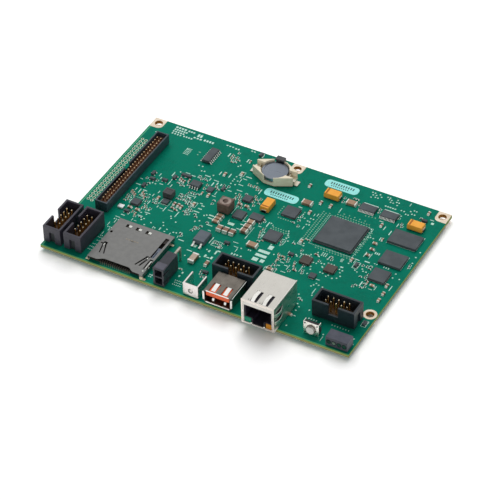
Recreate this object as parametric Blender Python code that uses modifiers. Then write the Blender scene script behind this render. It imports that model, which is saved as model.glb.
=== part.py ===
"""Single-board controller: a populated circuit board with pin headers, a card socket,
a power header, a USB socket, a network jack, a reset switch, status lights and a coin cell.

Frame: X runs right along the front edge, Y runs back, Z up. The origin is under the middle
of the whole part, in the plane that the soldered tails stand on. Units are metres.
"""
import math

import bmesh
import bpy
from mathutils import Matrix, Vector

MM = 0.001


def mm(*lengths):
    """Lengths given in millimetres, in metres."""
    return tuple(length * MM for length in lengths)


# Board
BOARD_LENGTH = 152.4 * MM
BOARD_DEPTH = 101.6 * MM
BOARD_THICKNESS = 1.6 * MM
TAIL_LENGTH = 1.5 * MM
MOUNT_HOLE = 4.0 * MM
MOUNT_INSET = 3.2 * MM
FRONT_MOUNT_SETBACK = 26.6 * MM

# Spaces along the front edge, from the left edge to the right edge, and along the left edge
# from the front to the back. The board's spare length and depth are shared out in these parts.
FRONT_SPACES = (0.05, 4.5, 5.4, 9.3, 3.05, 4.0, 8.7, 4.8)
LEFT_SPACES = (2.85, 8.85, 14.0)
LONG_HEADER_SHARE = 7.9
RIBBON_SPACE = 1.6 * MM
CENTRE_HEADER_SHIFT = -0.6 * MM
CENTRE_HEADER_SPACE = 1.15 * MM
RIGHT_HEADER_SETBACK = 14.65 * MM
EDGE_SETBACK = 0.7 * MM
USB_SETBACK = 0.4 * MM
SWITCH_SETBACK = 3.4 * MM
SWITCH_SPACE = 4.35 * MM
LIGHT_SETBACK = 1.1 * MM
FUSE_SHIFT = 5.0 * MM
FUSE_SETBACK = 22.2 * MM

# Clearances
SEAT_GAP = 0.3 * MM
RUN_GAP = 0.3 * MM
HOLE_GAP = 0.3 * MM
OVERCUT = 0.5 * MM
SUNK = 0.2 * MM

# Ribbon headers, five pins in each of two rows
RIBBON_COLUMNS = 5
RIBBON_PITCH = 2.54 * MM
RIBBON_PIN = 0.64 * MM
RIBBON_PIN_TOP = 8.6 * MM
RIBBON_END = 5.07 * MM
RIBBON_WIDTH = 8.9 * MM
RIBBON_HEIGHT = 9.0 * MM
RIBBON_WALL = 1.25 * MM
RIBBON_FLOOR = 2.6 * MM
RIBBON_NOTCH_WIDTH = 4.6 * MM
RIBBON_NOTCH_DEPTH = 5.2 * MM
RIBBON_GROOVE_WIDTH = 2.6 * MM
RIBBON_GROOVE_DEPTH = 0.5 * MM
RIBBON_GROOVE_TOP = 6.6 * MM

# Long pin header, twenty-five pins in each of two rows
LONG_COLUMNS = 25
LONG_PITCH = 2.0 * MM
LONG_PIN = 0.5 * MM
LONG_PIN_TOP = 5.0 * MM
LONG_END = 3.8 * MM
LONG_WIDTH = 6.2 * MM
LONG_HEIGHT = 5.8 * MM
LONG_WALL = 0.8 * MM
LONG_FLOOR = 1.6 * MM
LONG_NOTCH_WIDTH = 4.2 * MM
LONG_NOTCH_DEPTH = 3.6 * MM

# Card socket
CARD_COVER_WIDTH = 28.0 * MM
CARD_COVER_DEPTH = 28.2 * MM
CARD_COVER_TOP = 2.9 * MM
CARD_SHEET = 0.25 * MM
CARD_BAY_WIDTH = 24.1 * MM
CARD_BAY_LEFT = 1.0 * MM
CARD_BASE_FRONT = 1.2 * MM
CARD_FLOOR = 0.6 * MM
CARD_MOUTH_DEPTH = 1.65 * MM
CARD_MOUTH_START = 4.6 * MM
CARD_MOUTH_END = 23.1 * MM
CARD_MOUTH_EASE = 3.3 * MM
CARD_CONTACTS = 9
CARD_CONTACT_PITCH = 2.2 * MM
CARD_CONTACT_WIDTH = 0.8 * MM
CARD_CONTACT_THICKNESS = 0.25 * MM
CARD_CONTACT_RISE = 0.7 * MM
CARD_CONTACT_LENGTH = 7.0 * MM
CARD_TAIL_REACH = 1.2 * MM
SLIDER_WIDTH = 1.3 * MM
SLIDER_HEIGHT = 1.1 * MM
SLIDER_LENGTH = 8.0 * MM
SLIDER_FRONT = 11.0 * MM
SLIDER_TRAVEL = 3.3 * MM
SLIDER_ARM_REACH = 2.0 * MM
SLIDER_ARM_LENGTH = 1.4 * MM
WINDOW_WIDTH = 2.4 * MM
WINDOW_LENGTH = 1.2 * MM
WINDOW_PITCH = 5.0 * MM
WINDOW_FIRST = 6.5 * MM
WINDOW_BACK_INSET = 2.5 * MM
SLOT_WIDTH = 1.5 * MM
SLOT_LENGTH = 12.2 * MM
SLIT_WIDTH = 0.35 * MM
RELIEF_HOLE = 1.3 * MM

# Power header, two sockets one above the other
POWER_WIDTH = 5.4 * MM
POWER_DEPTH = 12.8 * MM
POWER_HEIGHT = 9.4 * MM
POWER_PITCH = 4.2 * MM
POWER_SOCKET = 3.6 * MM
POWER_SOCKET_DEPTH = 10.0 * MM
POWER_PIN = 1.0 * MM
POWER_PIN_FRONT = 2.5 * MM
POWER_LOWER_PIN_BACK = 1.3 * MM
POWER_ROW_SPACING = 4.6 * MM
POWER_LATCH_WIDTH = 3.6 * MM
POWER_LATCH_LENGTH = 3.0 * MM
POWER_LATCH_RISE = 0.7 * MM

# Bracket of folded sheet
BRACKET_WIDTH = 7.6 * MM
BRACKET_DEPTH = 8.4 * MM
BRACKET_HEIGHT = 6.9 * MM
BRACKET_SHEET = 0.8 * MM
BRACKET_HOLE = 2.5 * MM
BRACKET_HOLE_HEIGHT = 3.4 * MM
BRACKET_LEG_WIDTH = 1.2 * MM
BRACKET_LEG_INSET = 1.4 * MM

# USB socket
USB_WIDTH = 13.1 * MM
USB_DEPTH = 13.5 * MM
USB_BOTTOM = 1.0 * MM
USB_TOP = 7.3 * MM
USB_SHEET = 0.3 * MM
USB_TONGUE_WIDTH = 11.2 * MM
USB_TONGUE_THICKNESS = 2.1 * MM
USB_BLOCK_DEPTH = 3.7 * MM
USB_SPRING_SPREAD = 5.8 * MM
USB_SPRING_WIDTH = 1.8 * MM
USB_SPRING_LENGTH = 5.4 * MM
USB_SPRING_SLIT = 0.8 * MM
USB_SPRING_FRONT = 0.9 * MM
USB_LIP = 0.7 * MM
USB_LIP_HEIGHT = 4.0 * MM
USB_LIP_WIDTH = 9.0 * MM
USB_LEG_WIDTH = 1.7 * MM
USB_LEG_SETBACK = 9.6 * MM
USB_CONTACT_WIDTH = 1.0 * MM
USB_CONTACT_THICKNESS = 0.2 * MM
USB_TAIL = 0.5 * MM

# Network jack
JACK_WIDTH = 15.8 * MM
JACK_DEPTH = 21.1 * MM
JACK_TOP = 13.3 * MM
JACK_OVERHANG = 2.9 * MM
JACK_SHEET = 0.25 * MM
JACK_WINDOW_WIDTH = 13.2 * MM
JACK_WINDOW_TOP = 10.6 * MM
JACK_WINDOW_BOTTOM = 0.8 * MM
JACK_PORT_WIDTH = 12.0 * MM
JACK_PORT_BOTTOM = 3.7 * MM
JACK_PORT_TOP = 10.4 * MM
JACK_PORT_DEPTH = 12.5 * MM
JACK_LATCH_WIDTH = 5.2 * MM
JACK_LATCH_BOTTOM = 1.2 * MM
JACK_LATCH_DEPTH = 9.0 * MM
JACK_LATCH_WALL = 0.6 * MM
JACK_LIGHT_LENGTH = 8.5 * MM
JACK_WIRE = 0.4 * MM
JACK_WIRES = 8
JACK_WIRE_PITCH = 1.02 * MM
JACK_TAIL = 0.5 * MM
JACK_TAIL_PITCH = 2.54 * MM
JACK_PEG = 3.0 * MM
JACK_PEG_SPREAD = 11.4 * MM
JACK_PEG_ROW = 9.2 * MM
JACK_TAB_ROW = 5.4 * MM
JACK_TAIL_ROW = 6.5 * MM
JACK_LIGHT_TAIL_ROW = 2.0 * MM
JACK_FINGER_WIDTH = 1.8 * MM
JACK_FINGER_LENGTH = 7.0 * MM
JACK_FINGER_RISE = 0.4 * MM
JACK_FINGER_FRONT = 0.9 * MM
JACK_SLOT_WIDTH = 1.2 * MM

# Reset switch
SWITCH_PLATE_WIDTH = 7.3 * MM
SWITCH_PLATE_TOP = 6.9 * MM
SWITCH_SHEET = 0.3 * MM
SWITCH_WING_DEPTH = 2.4 * MM
SWITCH_WING_HEIGHT = 1.6 * MM
SWITCH_BODY_WIDTH = 6.1 * MM
SWITCH_BODY_DEPTH = 3.2 * MM
SWITCH_BODY_HEIGHT = 5.9 * MM
SWITCH_CENTRE = 3.5 * MM
SWITCH_LEG = 0.6 * MM
BUTTON_DIAMETER = 3.8 * MM
BUTTON_REACH = 1.1 * MM
BUTTON_FLANGE_DIAMETER = 4.9 * MM
BUTTON_FLANGE_THICKNESS = 0.6 * MM
BUTTON_TRAVEL = 0.25 * MM

# Status lights
LIGHT_COUNT = 4
LIGHT_PITCH = 2.45 * MM
LIGHT_BLOCK_WIDTH = 10.4 * MM
LIGHT_BLOCK_DEPTH = 5.5 * MM
LIGHT_BLOCK_TOP = 4.9 * MM
LIGHT_DIAMETER = 1.8 * MM
LIGHT_HEIGHT = 2.5 * MM
LIGHT_POCKET = 2.0 * MM
LIGHT_PROUD = 0.2 * MM
LIGHT_LEAD = 0.5 * MM
LIGHT_LEAD_ROWS = 2.54 * MM

# Coin cell and its holder
CELL_DIAMETER = 12.5 * MM
CELL_THICKNESS = 2.0 * MM
HOLDER_HALF_LENGTH = 10.2 * MM
HOLDER_HALF_DEPTH = 6.4 * MM
HOLDER_END_HALF = 2.5 * MM
HOLDER_FRONT_HALF = 2.7 * MM
HOLDER_TOP = 5.0 * MM
HOLDER_FLOOR = 1.6 * MM
HOLDER_GAP_WIDTH = 4.6 * MM
HOLDER_GAP_SILL = 0.4 * MM
CONTACT_WIDTH = 3.4 * MM
CONTACT_THICKNESS = 0.25 * MM
CONTACT_POST = 7.5 * MM
CONTACT_POST_TOP = 4.1 * MM
CONTACT_FOOT = 1.6 * MM
CLIP_WIDTH = 4.2 * MM
CLIP_OFFSET = -1.0 * MM
CLIP_DEPTH = 2.0 * MM
CLIP_TOP = 5.4 * MM
CLIP_LIP = 0.7 * MM

# Leads of the packaged chips
LEAD_THICKNESS = 0.25 * MM
LEAD_REACH = 1.05 * MM
LEAD_FOOT = 0.5 * MM

# Chips and other packages: length, depth and height of each
PROCESSOR = mm(19.0, 19.0, 1.6)
LARGE_MEMORY = mm(14.0, 9.2, 1.3)
SMALL_MEMORY = mm(11.0, 9.0, 1.3)
NETWORK_CHIP = mm(8.0, 8.0, 1.2)
CONTROLLER_CHIP = mm(7.0, 7.0, 1.1)
CONVERTER_CHIP = mm(5.0, 5.0, 1.1)
SQUARE_CHIP_BACK = mm(4.0, 4.2, 1.1)
SQUARE_CHIP_FRONT = mm(5.2, 5.4, 1.1)
SENSOR_CHIP = mm(4.2, 4.0, 1.2)
CLOCK_CHIP = mm(6.0, 4.4, 1.3)
LOGIC_CHIP = mm(9.9, 3.9, 1.75)
TRANSCEIVER_CHIP = mm(4.9, 3.9, 1.75)
WIDE_LEADS = mm(1.27, 0.45)
DRIVER_CHIP = mm(7.8, 4.6, 1.2)
FINE_LEADS = mm(0.65, 0.3)
TANTALUM = mm(7.3, 4.3, 2.9)
TANTALUM_TERMINAL = mm(2.4, 0.25, 1.2)
POWER_INDUCTOR = mm(6.1, 6.0, 5.4)
SMALL_INDUCTOR = mm(4.5, 4.0, 3.2)
SURGE_FUSE = mm(3.0, 5.7, 2.0)
REGULATOR = mm(5.6, 7.4, 2.4)
REGULATOR_TAB = mm(5.0, 2.6, 0.5)
REGULATOR_LEAD = mm(0.9, 2.7, 0.5)
REGULATOR_LEAD_SPREAD = 3.6 * MM

CORNER = 0.25 * MM
TURNED_LEFT = -math.pi / 2

BOARD_TOP = TAIL_LENGTH + BOARD_THICKNESS
TAIL_END = -BOARD_TOP
STAMP_X = Matrix(((0, 0, 1, 0), (1, 0, 0, 0), (0, 1, 0, 0), (0, 0, 0, 1)))
STAMP_Y = Matrix(((1, 0, 0, 0), (0, 0, -1, 0), (0, 1, 0, 0), (0, 0, 0, 1)))


# The scene and its two collections
for leftover in list(bpy.data.objects):
    bpy.data.objects.remove(leftover, do_unlink=True)
pieces = bpy.data.collections.new("single_board_controller")
cutters = bpy.data.collections.new("cutters")
bpy.context.scene.collection.children.link(pieces)
bpy.context.scene.collection.children.link(cutters)

drilled = []


def place(x, y, turn=0.0):
    """A spot on the board's top face, measured from its front left corner."""
    spot = (x - BOARD_LENGTH / 2, y - (BOARD_DEPTH - JACK_OVERHANG) / 2, BOARD_TOP)
    return Matrix.Translation(spot) @ Matrix.Rotation(turn, 4, "Z")


def share(across, back, turn=0.0):
    """A spot on the board's top face, in hundredths of its length and of its depth."""
    return place(BOARD_LENGTH * across / 100, BOARD_DEPTH * back / 100, turn)


def middles(length, sizes, spaces):
    """The middles of pieces along an edge, which share its spare length in these parts."""
    spare = (length - sum(sizes)) / sum(spaces)
    found = []
    reached = 0
    for size, space in zip(sizes, spaces):
        reached += space * spare
        found.append(reached + size / 2)
        reached += size
    return found


RIBBON_LENGTH = (RIBBON_COLUMNS - 1) * RIBBON_PITCH + 2 * RIBBON_END
LONG_LENGTH = (LONG_COLUMNS - 1) * LONG_PITCH + 2 * LONG_END
USB_SIDE = (USB_WIDTH - RIBBON_LENGTH) / 2 - CENTRE_HEADER_SHIFT
(RIBBON_PAIR_X, CARD_X, POWER_X, BRACKET_X, USB_GROUP_X, JACK_X, RIGHT_HEADER_X) = middles(
    BOARD_LENGTH, (2 * RIBBON_WIDTH + RIBBON_SPACE, CARD_COVER_WIDTH, POWER_WIDTH, BRACKET_WIDTH,
                   USB_WIDTH - USB_SIDE, JACK_WIDTH, RIBBON_LENGTH), FRONT_SPACES)
USB_X = USB_GROUP_X + USB_SIDE / 2
RIBBON_PAIR_Y, LONG_HEADER_Y = middles(BOARD_DEPTH, (RIBBON_LENGTH, LONG_LENGTH), LEFT_SPACES)
LIGHTS_X = BOARD_LENGTH - LIGHT_SETBACK - LIGHT_BLOCK_WIDTH / 2
SWITCH_X = LIGHTS_X - (LIGHT_BLOCK_WIDTH + SWITCH_PLATE_WIDTH) / 2 - SWITCH_SPACE


def station(name, spot):
    """The empty that a component's pieces hang on."""
    empty = bpy.data.objects.new(name + "_station", None)
    empty.matrix_world = spot
    cutters.objects.link(empty)
    return empty


def new_object(name, mesh, parent, group):
    """An object for a mesh, hung on its station."""
    item = bpy.data.objects.new(name, mesh)
    group.objects.link(item)
    item.parent = parent
    return item


def fill_mesh(mesh, shape):
    """Writes a bmesh into a mesh and frees it."""
    bmesh.ops.recalc_face_normals(shape, faces=shape.faces)
    shape.to_mesh(mesh)
    shape.free()
    return mesh


def blocks_mesh(name, boxes):
    """One mesh of blocks, each given by its lowest and its highest corner."""
    shape = bmesh.new()
    for low, high in boxes:
        low, high = Vector(low), Vector(high)
        fit = Matrix.Translation((low + high) / 2) @ Matrix.Diagonal((*(high - low), 1))
        bmesh.ops.create_cube(shape, size=1, matrix=fit)
    return fill_mesh(bpy.data.meshes.new(name), shape)


def rods_mesh(name, rods, sides=8, axis="Z"):
    """One mesh of rods, each given by the middle of its start, its diameter and its length."""
    lie = {"Z": Matrix(), "Y": Matrix.Rotation(-math.pi / 2, 4, "X")}[axis]
    shape = bmesh.new()
    for start, diameter, length in rods:
        fit = Matrix.Translation(start) @ lie @ Matrix.Translation((0, 0, length / 2))
        fit = fit @ Matrix.Rotation(math.pi / sides, 4, "Z")
        radius = diameter / 2 / math.cos(math.pi / sides)
        bmesh.ops.create_cone(shape, cap_ends=True, segments=sides, radius1=radius,
                              radius2=radius, depth=length, matrix=fit)
    return fill_mesh(bpy.data.meshes.new(name), shape)


def outline_mesh(name, points, thickness, stamp=Matrix(), spots=(0.0,)):
    """A flat outline with a thickness, stamped once at each spot along its thickness."""
    curve = bpy.data.curves.new(name, "CURVE")
    curve.dimensions = "2D"
    curve.fill_mode = "BOTH"
    curve.extrude = thickness / 2
    spline = curve.splines.new("POLY")
    spline.points.add(len(points) - 1)
    for corner, (x, y) in zip(spline.points, points):
        corner.co = (x, y, 0, 1)
    spline.use_cyclic_u = True
    guide = new_object(name + "_outline", curve, None, cutters)
    filled = bpy.data.meshes.new_from_object(guide.evaluated_get(bpy.context.evaluated_depsgraph_get()))
    bpy.data.objects.remove(guide)
    shape = bmesh.new()
    for spot in spots:
        before = set(shape.verts)
        shape.from_mesh(filled)
        fresh = [vertex for vertex in shape.verts if vertex not in before]
        bmesh.ops.transform(shape, matrix=stamp @ Matrix.Translation((0, 0, spot)), verts=fresh)
    bmesh.ops.remove_doubles(shape, verts=shape.verts, dist=0.001 * MM)
    return fill_mesh(bpy.data.meshes.new(name), shape)


def finish(item, colour, roughness, metallic=0.0):
    """The object's own material."""
    material = bpy.data.materials.new(item.name)
    material.use_nodes = True
    shader = material.node_tree.nodes["Principled BSDF"]
    shader.inputs["Base Color"].default_value = (*colour, 1)
    shader.inputs["Roughness"].default_value = roughness
    shader.inputs["Metallic"].default_value = metallic
    item.data.materials.append(material)


def combine(item, mesh, operation):
    """Adds a mesh to a piece, or takes it away, in the piece's own frame."""
    tool = new_object(item.name + "_" + operation.lower(), mesh, item.parent, cutters)
    tool.hide_render = True
    tool.display_type = "WIRE"
    boolean = item.modifiers.new(operation.title(), "BOOLEAN")
    boolean.operation = operation
    boolean.solver = "EXACT"
    boolean.object = tool


def join(item, mesh):
    combine(item, mesh, "UNION")


def cut(item, mesh):
    combine(item, mesh, "DIFFERENCE")


def round_edges(item, width, segments=1):
    """Bevels a piece's sharp edges."""
    bevel = item.modifiers.new("Edges", "BEVEL")
    bevel.width = width
    bevel.segments = segments
    bevel.limit_method = "ANGLE"


def drill(stand, spots, diameter):
    """Notes holes that the board gets under a component, at spots in its station's frame."""
    for x, y in spots:
        drilled.append((stand.matrix_world @ Vector((x, y, 0)), diameter + 2 * HOLE_GAP))


def tails(spots, width, top):
    """Square tails from a given height down to the plane that the part stands on."""
    half = width / 2
    return [((x - half, y - half, TAIL_END), (x + half, y + half, top)) for x, y in spots]


def corner_to_corner(width):
    """The round hole that a square tail needs, before its clearance."""
    return width * 1.25


# Pin headers


def box_header(name, spot, columns, pitch, pin, pin_top, end, width, height, wall, floor,
               notch_width, notch_depth, colour):
    """A shrouded header with two rows of pins, its key notch in the front wall."""
    stand = station(name, spot)
    half_length = (columns - 1) * pitch / 2 + end
    half_width = width / 2
    shroud = blocks_mesh(name, [((-half_length, -half_width, SEAT_GAP),
                                 (half_length, half_width, height))])
    header = new_object(name, shroud, stand, pieces)
    well = ((wall - half_length, wall - half_width, floor),
            (half_length - wall, half_width - wall, height + OVERCUT))
    cut(header, blocks_mesh("well", [well]))
    notch = ((-notch_width / 2, -half_width - OVERCUT, height - notch_depth),
             (notch_width / 2, -half_width + wall + OVERCUT, height + OVERCUT))
    cut(header, blocks_mesh("notch", [notch]))
    spots = [((column - (columns - 1) / 2) * pitch, row * pitch / 2)
             for column in range(columns) for row in (-1, 1)]
    join(header, blocks_mesh("pins", tails(spots, pin, pin_top)))
    drill(stand, spots, corner_to_corner(pin))
    finish(header, colour, 0.5)
    return header


def ribbon_header(name, spot):
    header = box_header(name, spot, RIBBON_COLUMNS, RIBBON_PITCH, RIBBON_PIN, RIBBON_PIN_TOP,
                        RIBBON_END, RIBBON_WIDTH, RIBBON_HEIGHT, RIBBON_WALL, RIBBON_FLOOR,
                        RIBBON_NOTCH_WIDTH, RIBBON_NOTCH_DEPTH, (0.03, 0.03, 0.035))
    end_face = (RIBBON_COLUMNS - 1) * RIBBON_PITCH / 2 + RIBBON_END
    half = RIBBON_GROOVE_WIDTH / 2
    grooves = []
    for side in (-1, 1):
        reach = sorted((side * (end_face - RIBBON_GROOVE_DEPTH), side * (end_face + OVERCUT)))
        grooves.append(((reach[0], -half, 0), (reach[1], half, RIBBON_GROOVE_TOP)))
    cut(header, blocks_mesh("grooves", grooves))


def pin_headers():
    step = (RIBBON_WIDTH + RIBBON_SPACE) / 2
    ribbon_header("ribbon_header_outer_left", place(RIBBON_PAIR_X - step, RIBBON_PAIR_Y, TURNED_LEFT))
    ribbon_header("ribbon_header_inner_left", place(RIBBON_PAIR_X + step, RIBBON_PAIR_Y, TURNED_LEFT))
    behind_usb = USB_SETBACK + USB_DEPTH + CENTRE_HEADER_SPACE + RIBBON_WIDTH / 2
    ribbon_header("ribbon_header_centre", place(USB_X + CENTRE_HEADER_SHIFT, behind_usb))
    ribbon_header("ribbon_header_right", place(RIGHT_HEADER_X, RIGHT_HEADER_SETBACK + RIBBON_WIDTH / 2))
    box_header("long_pin_header", place(BOARD_LENGTH * LONG_HEADER_SHARE / 100, LONG_HEADER_Y, TURNED_LEFT),
               LONG_COLUMNS, LONG_PITCH,
               LONG_PIN, LONG_PIN_TOP, LONG_END, LONG_WIDTH, LONG_HEIGHT, LONG_WALL, LONG_FLOOR,
               LONG_NOTCH_WIDTH, LONG_NOTCH_DEPTH, (0.05, 0.055, 0.07))


# Card socket


def ease(start, end, count=4):
    """Points along an S that leaves one point and reaches the other level."""
    steps = [step / count for step in range(count + 1)]
    return [(start[0] + (end[0] - start[0]) * share,
             start[1] + (end[1] - start[1]) * (1 - math.cos(math.pi * share)) / 2)
            for share in steps]


def slit(start, end):
    """The corners of a narrow straight slit between two points."""
    start, end = Vector(mm(*start)), Vector(mm(*end))
    side = (end - start).orthogonal().normalized() * SLIT_WIDTH / 2
    return [tuple(start - side), tuple(end - side), tuple(end + side), tuple(start + side)]


def card_socket():
    """The origin is the front left corner of the cover."""
    stand = station("card_socket", place(CARD_X - CARD_COVER_WIDTH / 2, EDGE_SETBACK))
    base_left = CARD_SHEET + RUN_GAP
    base_right = CARD_COVER_WIDTH - CARD_SHEET - RUN_GAP
    base_back = CARD_COVER_DEPTH - CARD_SHEET - RUN_GAP
    base_top = CARD_COVER_TOP - CARD_SHEET - RUN_GAP
    floor = SEAT_GAP + CARD_FLOOR
    bay_right = CARD_BAY_LEFT + CARD_BAY_WIDTH
    channel_right = bay_right + SLIDER_WIDTH + 2 * RUN_GAP
    bay_back = SLIDER_FRONT + SLIDER_LENGTH + SLIDER_TRAVEL + RUN_GAP

    base = new_object("card_socket_base", blocks_mesh("base", [
        ((base_left, CARD_BASE_FRONT, SEAT_GAP), (base_right, base_back, base_top))]), stand, pieces)
    cut(base, blocks_mesh("bay", [((CARD_BAY_LEFT, -OVERCUT, floor),
                                   (bay_right, bay_back, base_top + OVERCUT))]))
    cut(base, blocks_mesh("channel", [((bay_right - OVERCUT, SLIDER_FRONT - RUN_GAP, floor),
                                       (channel_right, bay_back, base_top + OVERCUT))]))
    contact_start = CARD_BAY_LEFT + 2.3 * MM
    spots = [contact_start + number * CARD_CONTACT_PITCH for number in range(CARD_CONTACTS)]
    heel = bay_back + SUNK
    finger = [(heel, floor - SUNK), (heel, floor + CARD_CONTACT_THICKNESS),
              (heel - CARD_CONTACT_LENGTH, floor + CARD_CONTACT_RISE),
              (heel - CARD_CONTACT_LENGTH, floor + CARD_CONTACT_RISE - CARD_CONTACT_THICKNESS),
              (heel - 2 * MM, floor - SUNK)]
    join(base, outline_mesh("fingers", finger, CARD_CONTACT_WIDTH, STAMP_X, spots))
    feet = [((x - CARD_CONTACT_WIDTH / 2, base_back - SUNK, SEAT_GAP),
             (x + CARD_CONTACT_WIDTH / 2, base_back + CARD_SHEET + RUN_GAP + CARD_TAIL_REACH,
              SEAT_GAP + CARD_CONTACT_THICKNESS)) for x in spots]
    join(base, blocks_mesh("feet", feet))
    finish(base, (0.035, 0.03, 0.03), 0.55)

    flange_end = SEAT_GAP + CARD_CONTACT_THICKNESS + RUN_GAP
    cover = new_object("card_socket_cover", blocks_mesh("cover", [
        ((0, 0, flange_end), (CARD_COVER_WIDTH, CARD_COVER_DEPTH, CARD_COVER_TOP))]), stand, pieces)
    cut(cover, blocks_mesh("inside", [((CARD_SHEET, -OVERCUT, 0),
                                       (CARD_COVER_WIDTH - CARD_SHEET, CARD_COVER_DEPTH - CARD_SHEET,
                                        CARD_COVER_TOP - CARD_SHEET))]))
    mouth = [(CARD_MOUTH_START, -OVERCUT)]
    mouth += ease((CARD_MOUTH_START, 0), (CARD_MOUTH_START + CARD_MOUTH_EASE, CARD_MOUTH_DEPTH))
    mouth += ease((CARD_MOUTH_END - CARD_MOUTH_EASE, CARD_MOUTH_DEPTH), (CARD_MOUTH_END, 0))
    mouth += [(CARD_MOUTH_END, -OVERCUT)]
    through = 4 * CARD_COVER_TOP
    cut(cover, outline_mesh("mouth", mouth, through))
    window_back = CARD_COVER_DEPTH - WINDOW_BACK_INSET
    windows = [((WINDOW_FIRST + number * WINDOW_PITCH - WINDOW_WIDTH / 2,
                 window_back - WINDOW_LENGTH, CARD_COVER_TOP - 2 * CARD_SHEET),
                (WINDOW_FIRST + number * WINDOW_PITCH + WINDOW_WIDTH / 2,
                 window_back, CARD_COVER_TOP + OVERCUT)) for number in range(3)]
    slot_middle = (bay_right + channel_right) / 2
    windows.append(((slot_middle - SLOT_WIDTH / 2, SLIDER_FRONT + SLIT_WIDTH, windows[0][0][2]),
                    (slot_middle + SLOT_WIDTH / 2, SLIDER_FRONT + SLIT_WIDTH + SLOT_LENGTH,
                     windows[0][1][2])))
    cut(cover, blocks_mesh("windows", windows))
    for start, end in (((1.9, 10.6), (3.5, 4.4)), ((3.2, 10.6), (5.6, 4.5)),
                       ((23.5, 10.6), (21.4, 4.4)), ((24.6, 10.6), (23.4, 4.5)),
                       ((26.1, 9.4), (26.2, 3.5))):
        cut(cover, outline_mesh("slit", slit(start, end), through))
    reliefs = [((x, y, 0), RELIEF_HOLE, through) for x, y in (mm(2.6, 11.0), mm(24.0, 11.0))]
    cut(cover, rods_mesh("reliefs", reliefs))
    nose = ((CARD_COVER_WIDTH - 1.7 * MM, 0, SEAT_GAP + CARD_CONTACT_THICKNESS),
            (CARD_COVER_WIDTH, CARD_SHEET, CARD_COVER_TOP - SUNK / 2))
    join(cover, blocks_mesh("nose", [nose]))
    finish(cover, (0.22, 0.225, 0.235), 0.35, 0.9)

    slide_top = floor + RUN_GAP + SLIDER_HEIGHT
    slider_left = bay_right + RUN_GAP
    slider = new_object("card_slider", blocks_mesh("slider", [
        ((slider_left, SLIDER_FRONT, floor + RUN_GAP),
         (slider_left + SLIDER_WIDTH, SLIDER_FRONT + SLIDER_LENGTH, slide_top))]), stand, pieces)
    arm_back = SLIDER_FRONT + SLIDER_LENGTH
    join(slider, blocks_mesh("arm", [((slider_left - SLIDER_ARM_REACH, arm_back - SLIDER_ARM_LENGTH,
                                       floor + RUN_GAP), (slider_left + SUNK, arm_back, slide_top))]))
    cam = ((slider_left + SLIDER_WIDTH / 3, SLIDER_FRONT + SLIDER_WIDTH, slide_top - SLIDER_HEIGHT / 3),
           (slider_left + SLIDER_WIDTH * 2 / 3, arm_back - 2 * SLIDER_WIDTH, slide_top + OVERCUT))
    cut(slider, blocks_mesh("cam", [cam]))
    finish(slider, (0.12, 0.13, 0.15), 0.5)


# Power header and bracket


def power_header():
    """The origin is the middle of the front face's foot."""
    stand = station("power_header", place(POWER_X, EDGE_SETBACK))
    half = POWER_WIDTH / 2
    header = new_object("power_header", blocks_mesh("housing", [
        ((-half, 0, SEAT_GAP), (half, POWER_DEPTH, POWER_HEIGHT))]), stand, pieces)
    middle = (SEAT_GAP + POWER_HEIGHT) / 2
    heights = (middle - POWER_PITCH / 2, middle + POWER_PITCH / 2)
    reach = POWER_SOCKET / 2
    cut(header, blocks_mesh("sockets", [((-reach, -OVERCUT, height - reach),
                                         (reach, POWER_SOCKET_DEPTH, height + reach))
                                        for height in heights]))
    latch = [(SLIT_WIDTH, POWER_HEIGHT - SUNK), (POWER_LATCH_LENGTH, POWER_HEIGHT - SUNK),
             (POWER_LATCH_LENGTH, POWER_HEIGHT + POWER_LATCH_RISE),
             (POWER_LATCH_LENGTH - POWER_LATCH_RISE, POWER_HEIGHT + POWER_LATCH_RISE),
             (SLIT_WIDTH, POWER_HEIGHT)]
    join(header, outline_mesh("latch", latch, POWER_LATCH_WIDTH, STAMP_X))
    backs = (POWER_DEPTH + POWER_LOWER_PIN_BACK, POWER_DEPTH + POWER_LOWER_PIN_BACK + POWER_ROW_SPACING)
    pin = POWER_PIN / 2
    for height, back in zip(heights, backs):
        bend = [(POWER_PIN_FRONT, height - pin), (back - pin, height - pin), (back - pin, TAIL_END),
                (back + pin, TAIL_END), (back + pin, height + pin), (POWER_PIN_FRONT, height + pin)]
        join(header, outline_mesh("pin", bend, POWER_PIN, STAMP_X))
    drill(stand, [(0, back) for back in backs], corner_to_corner(POWER_PIN))
    finish(header, (0.035, 0.035, 0.045), 0.5)


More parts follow.
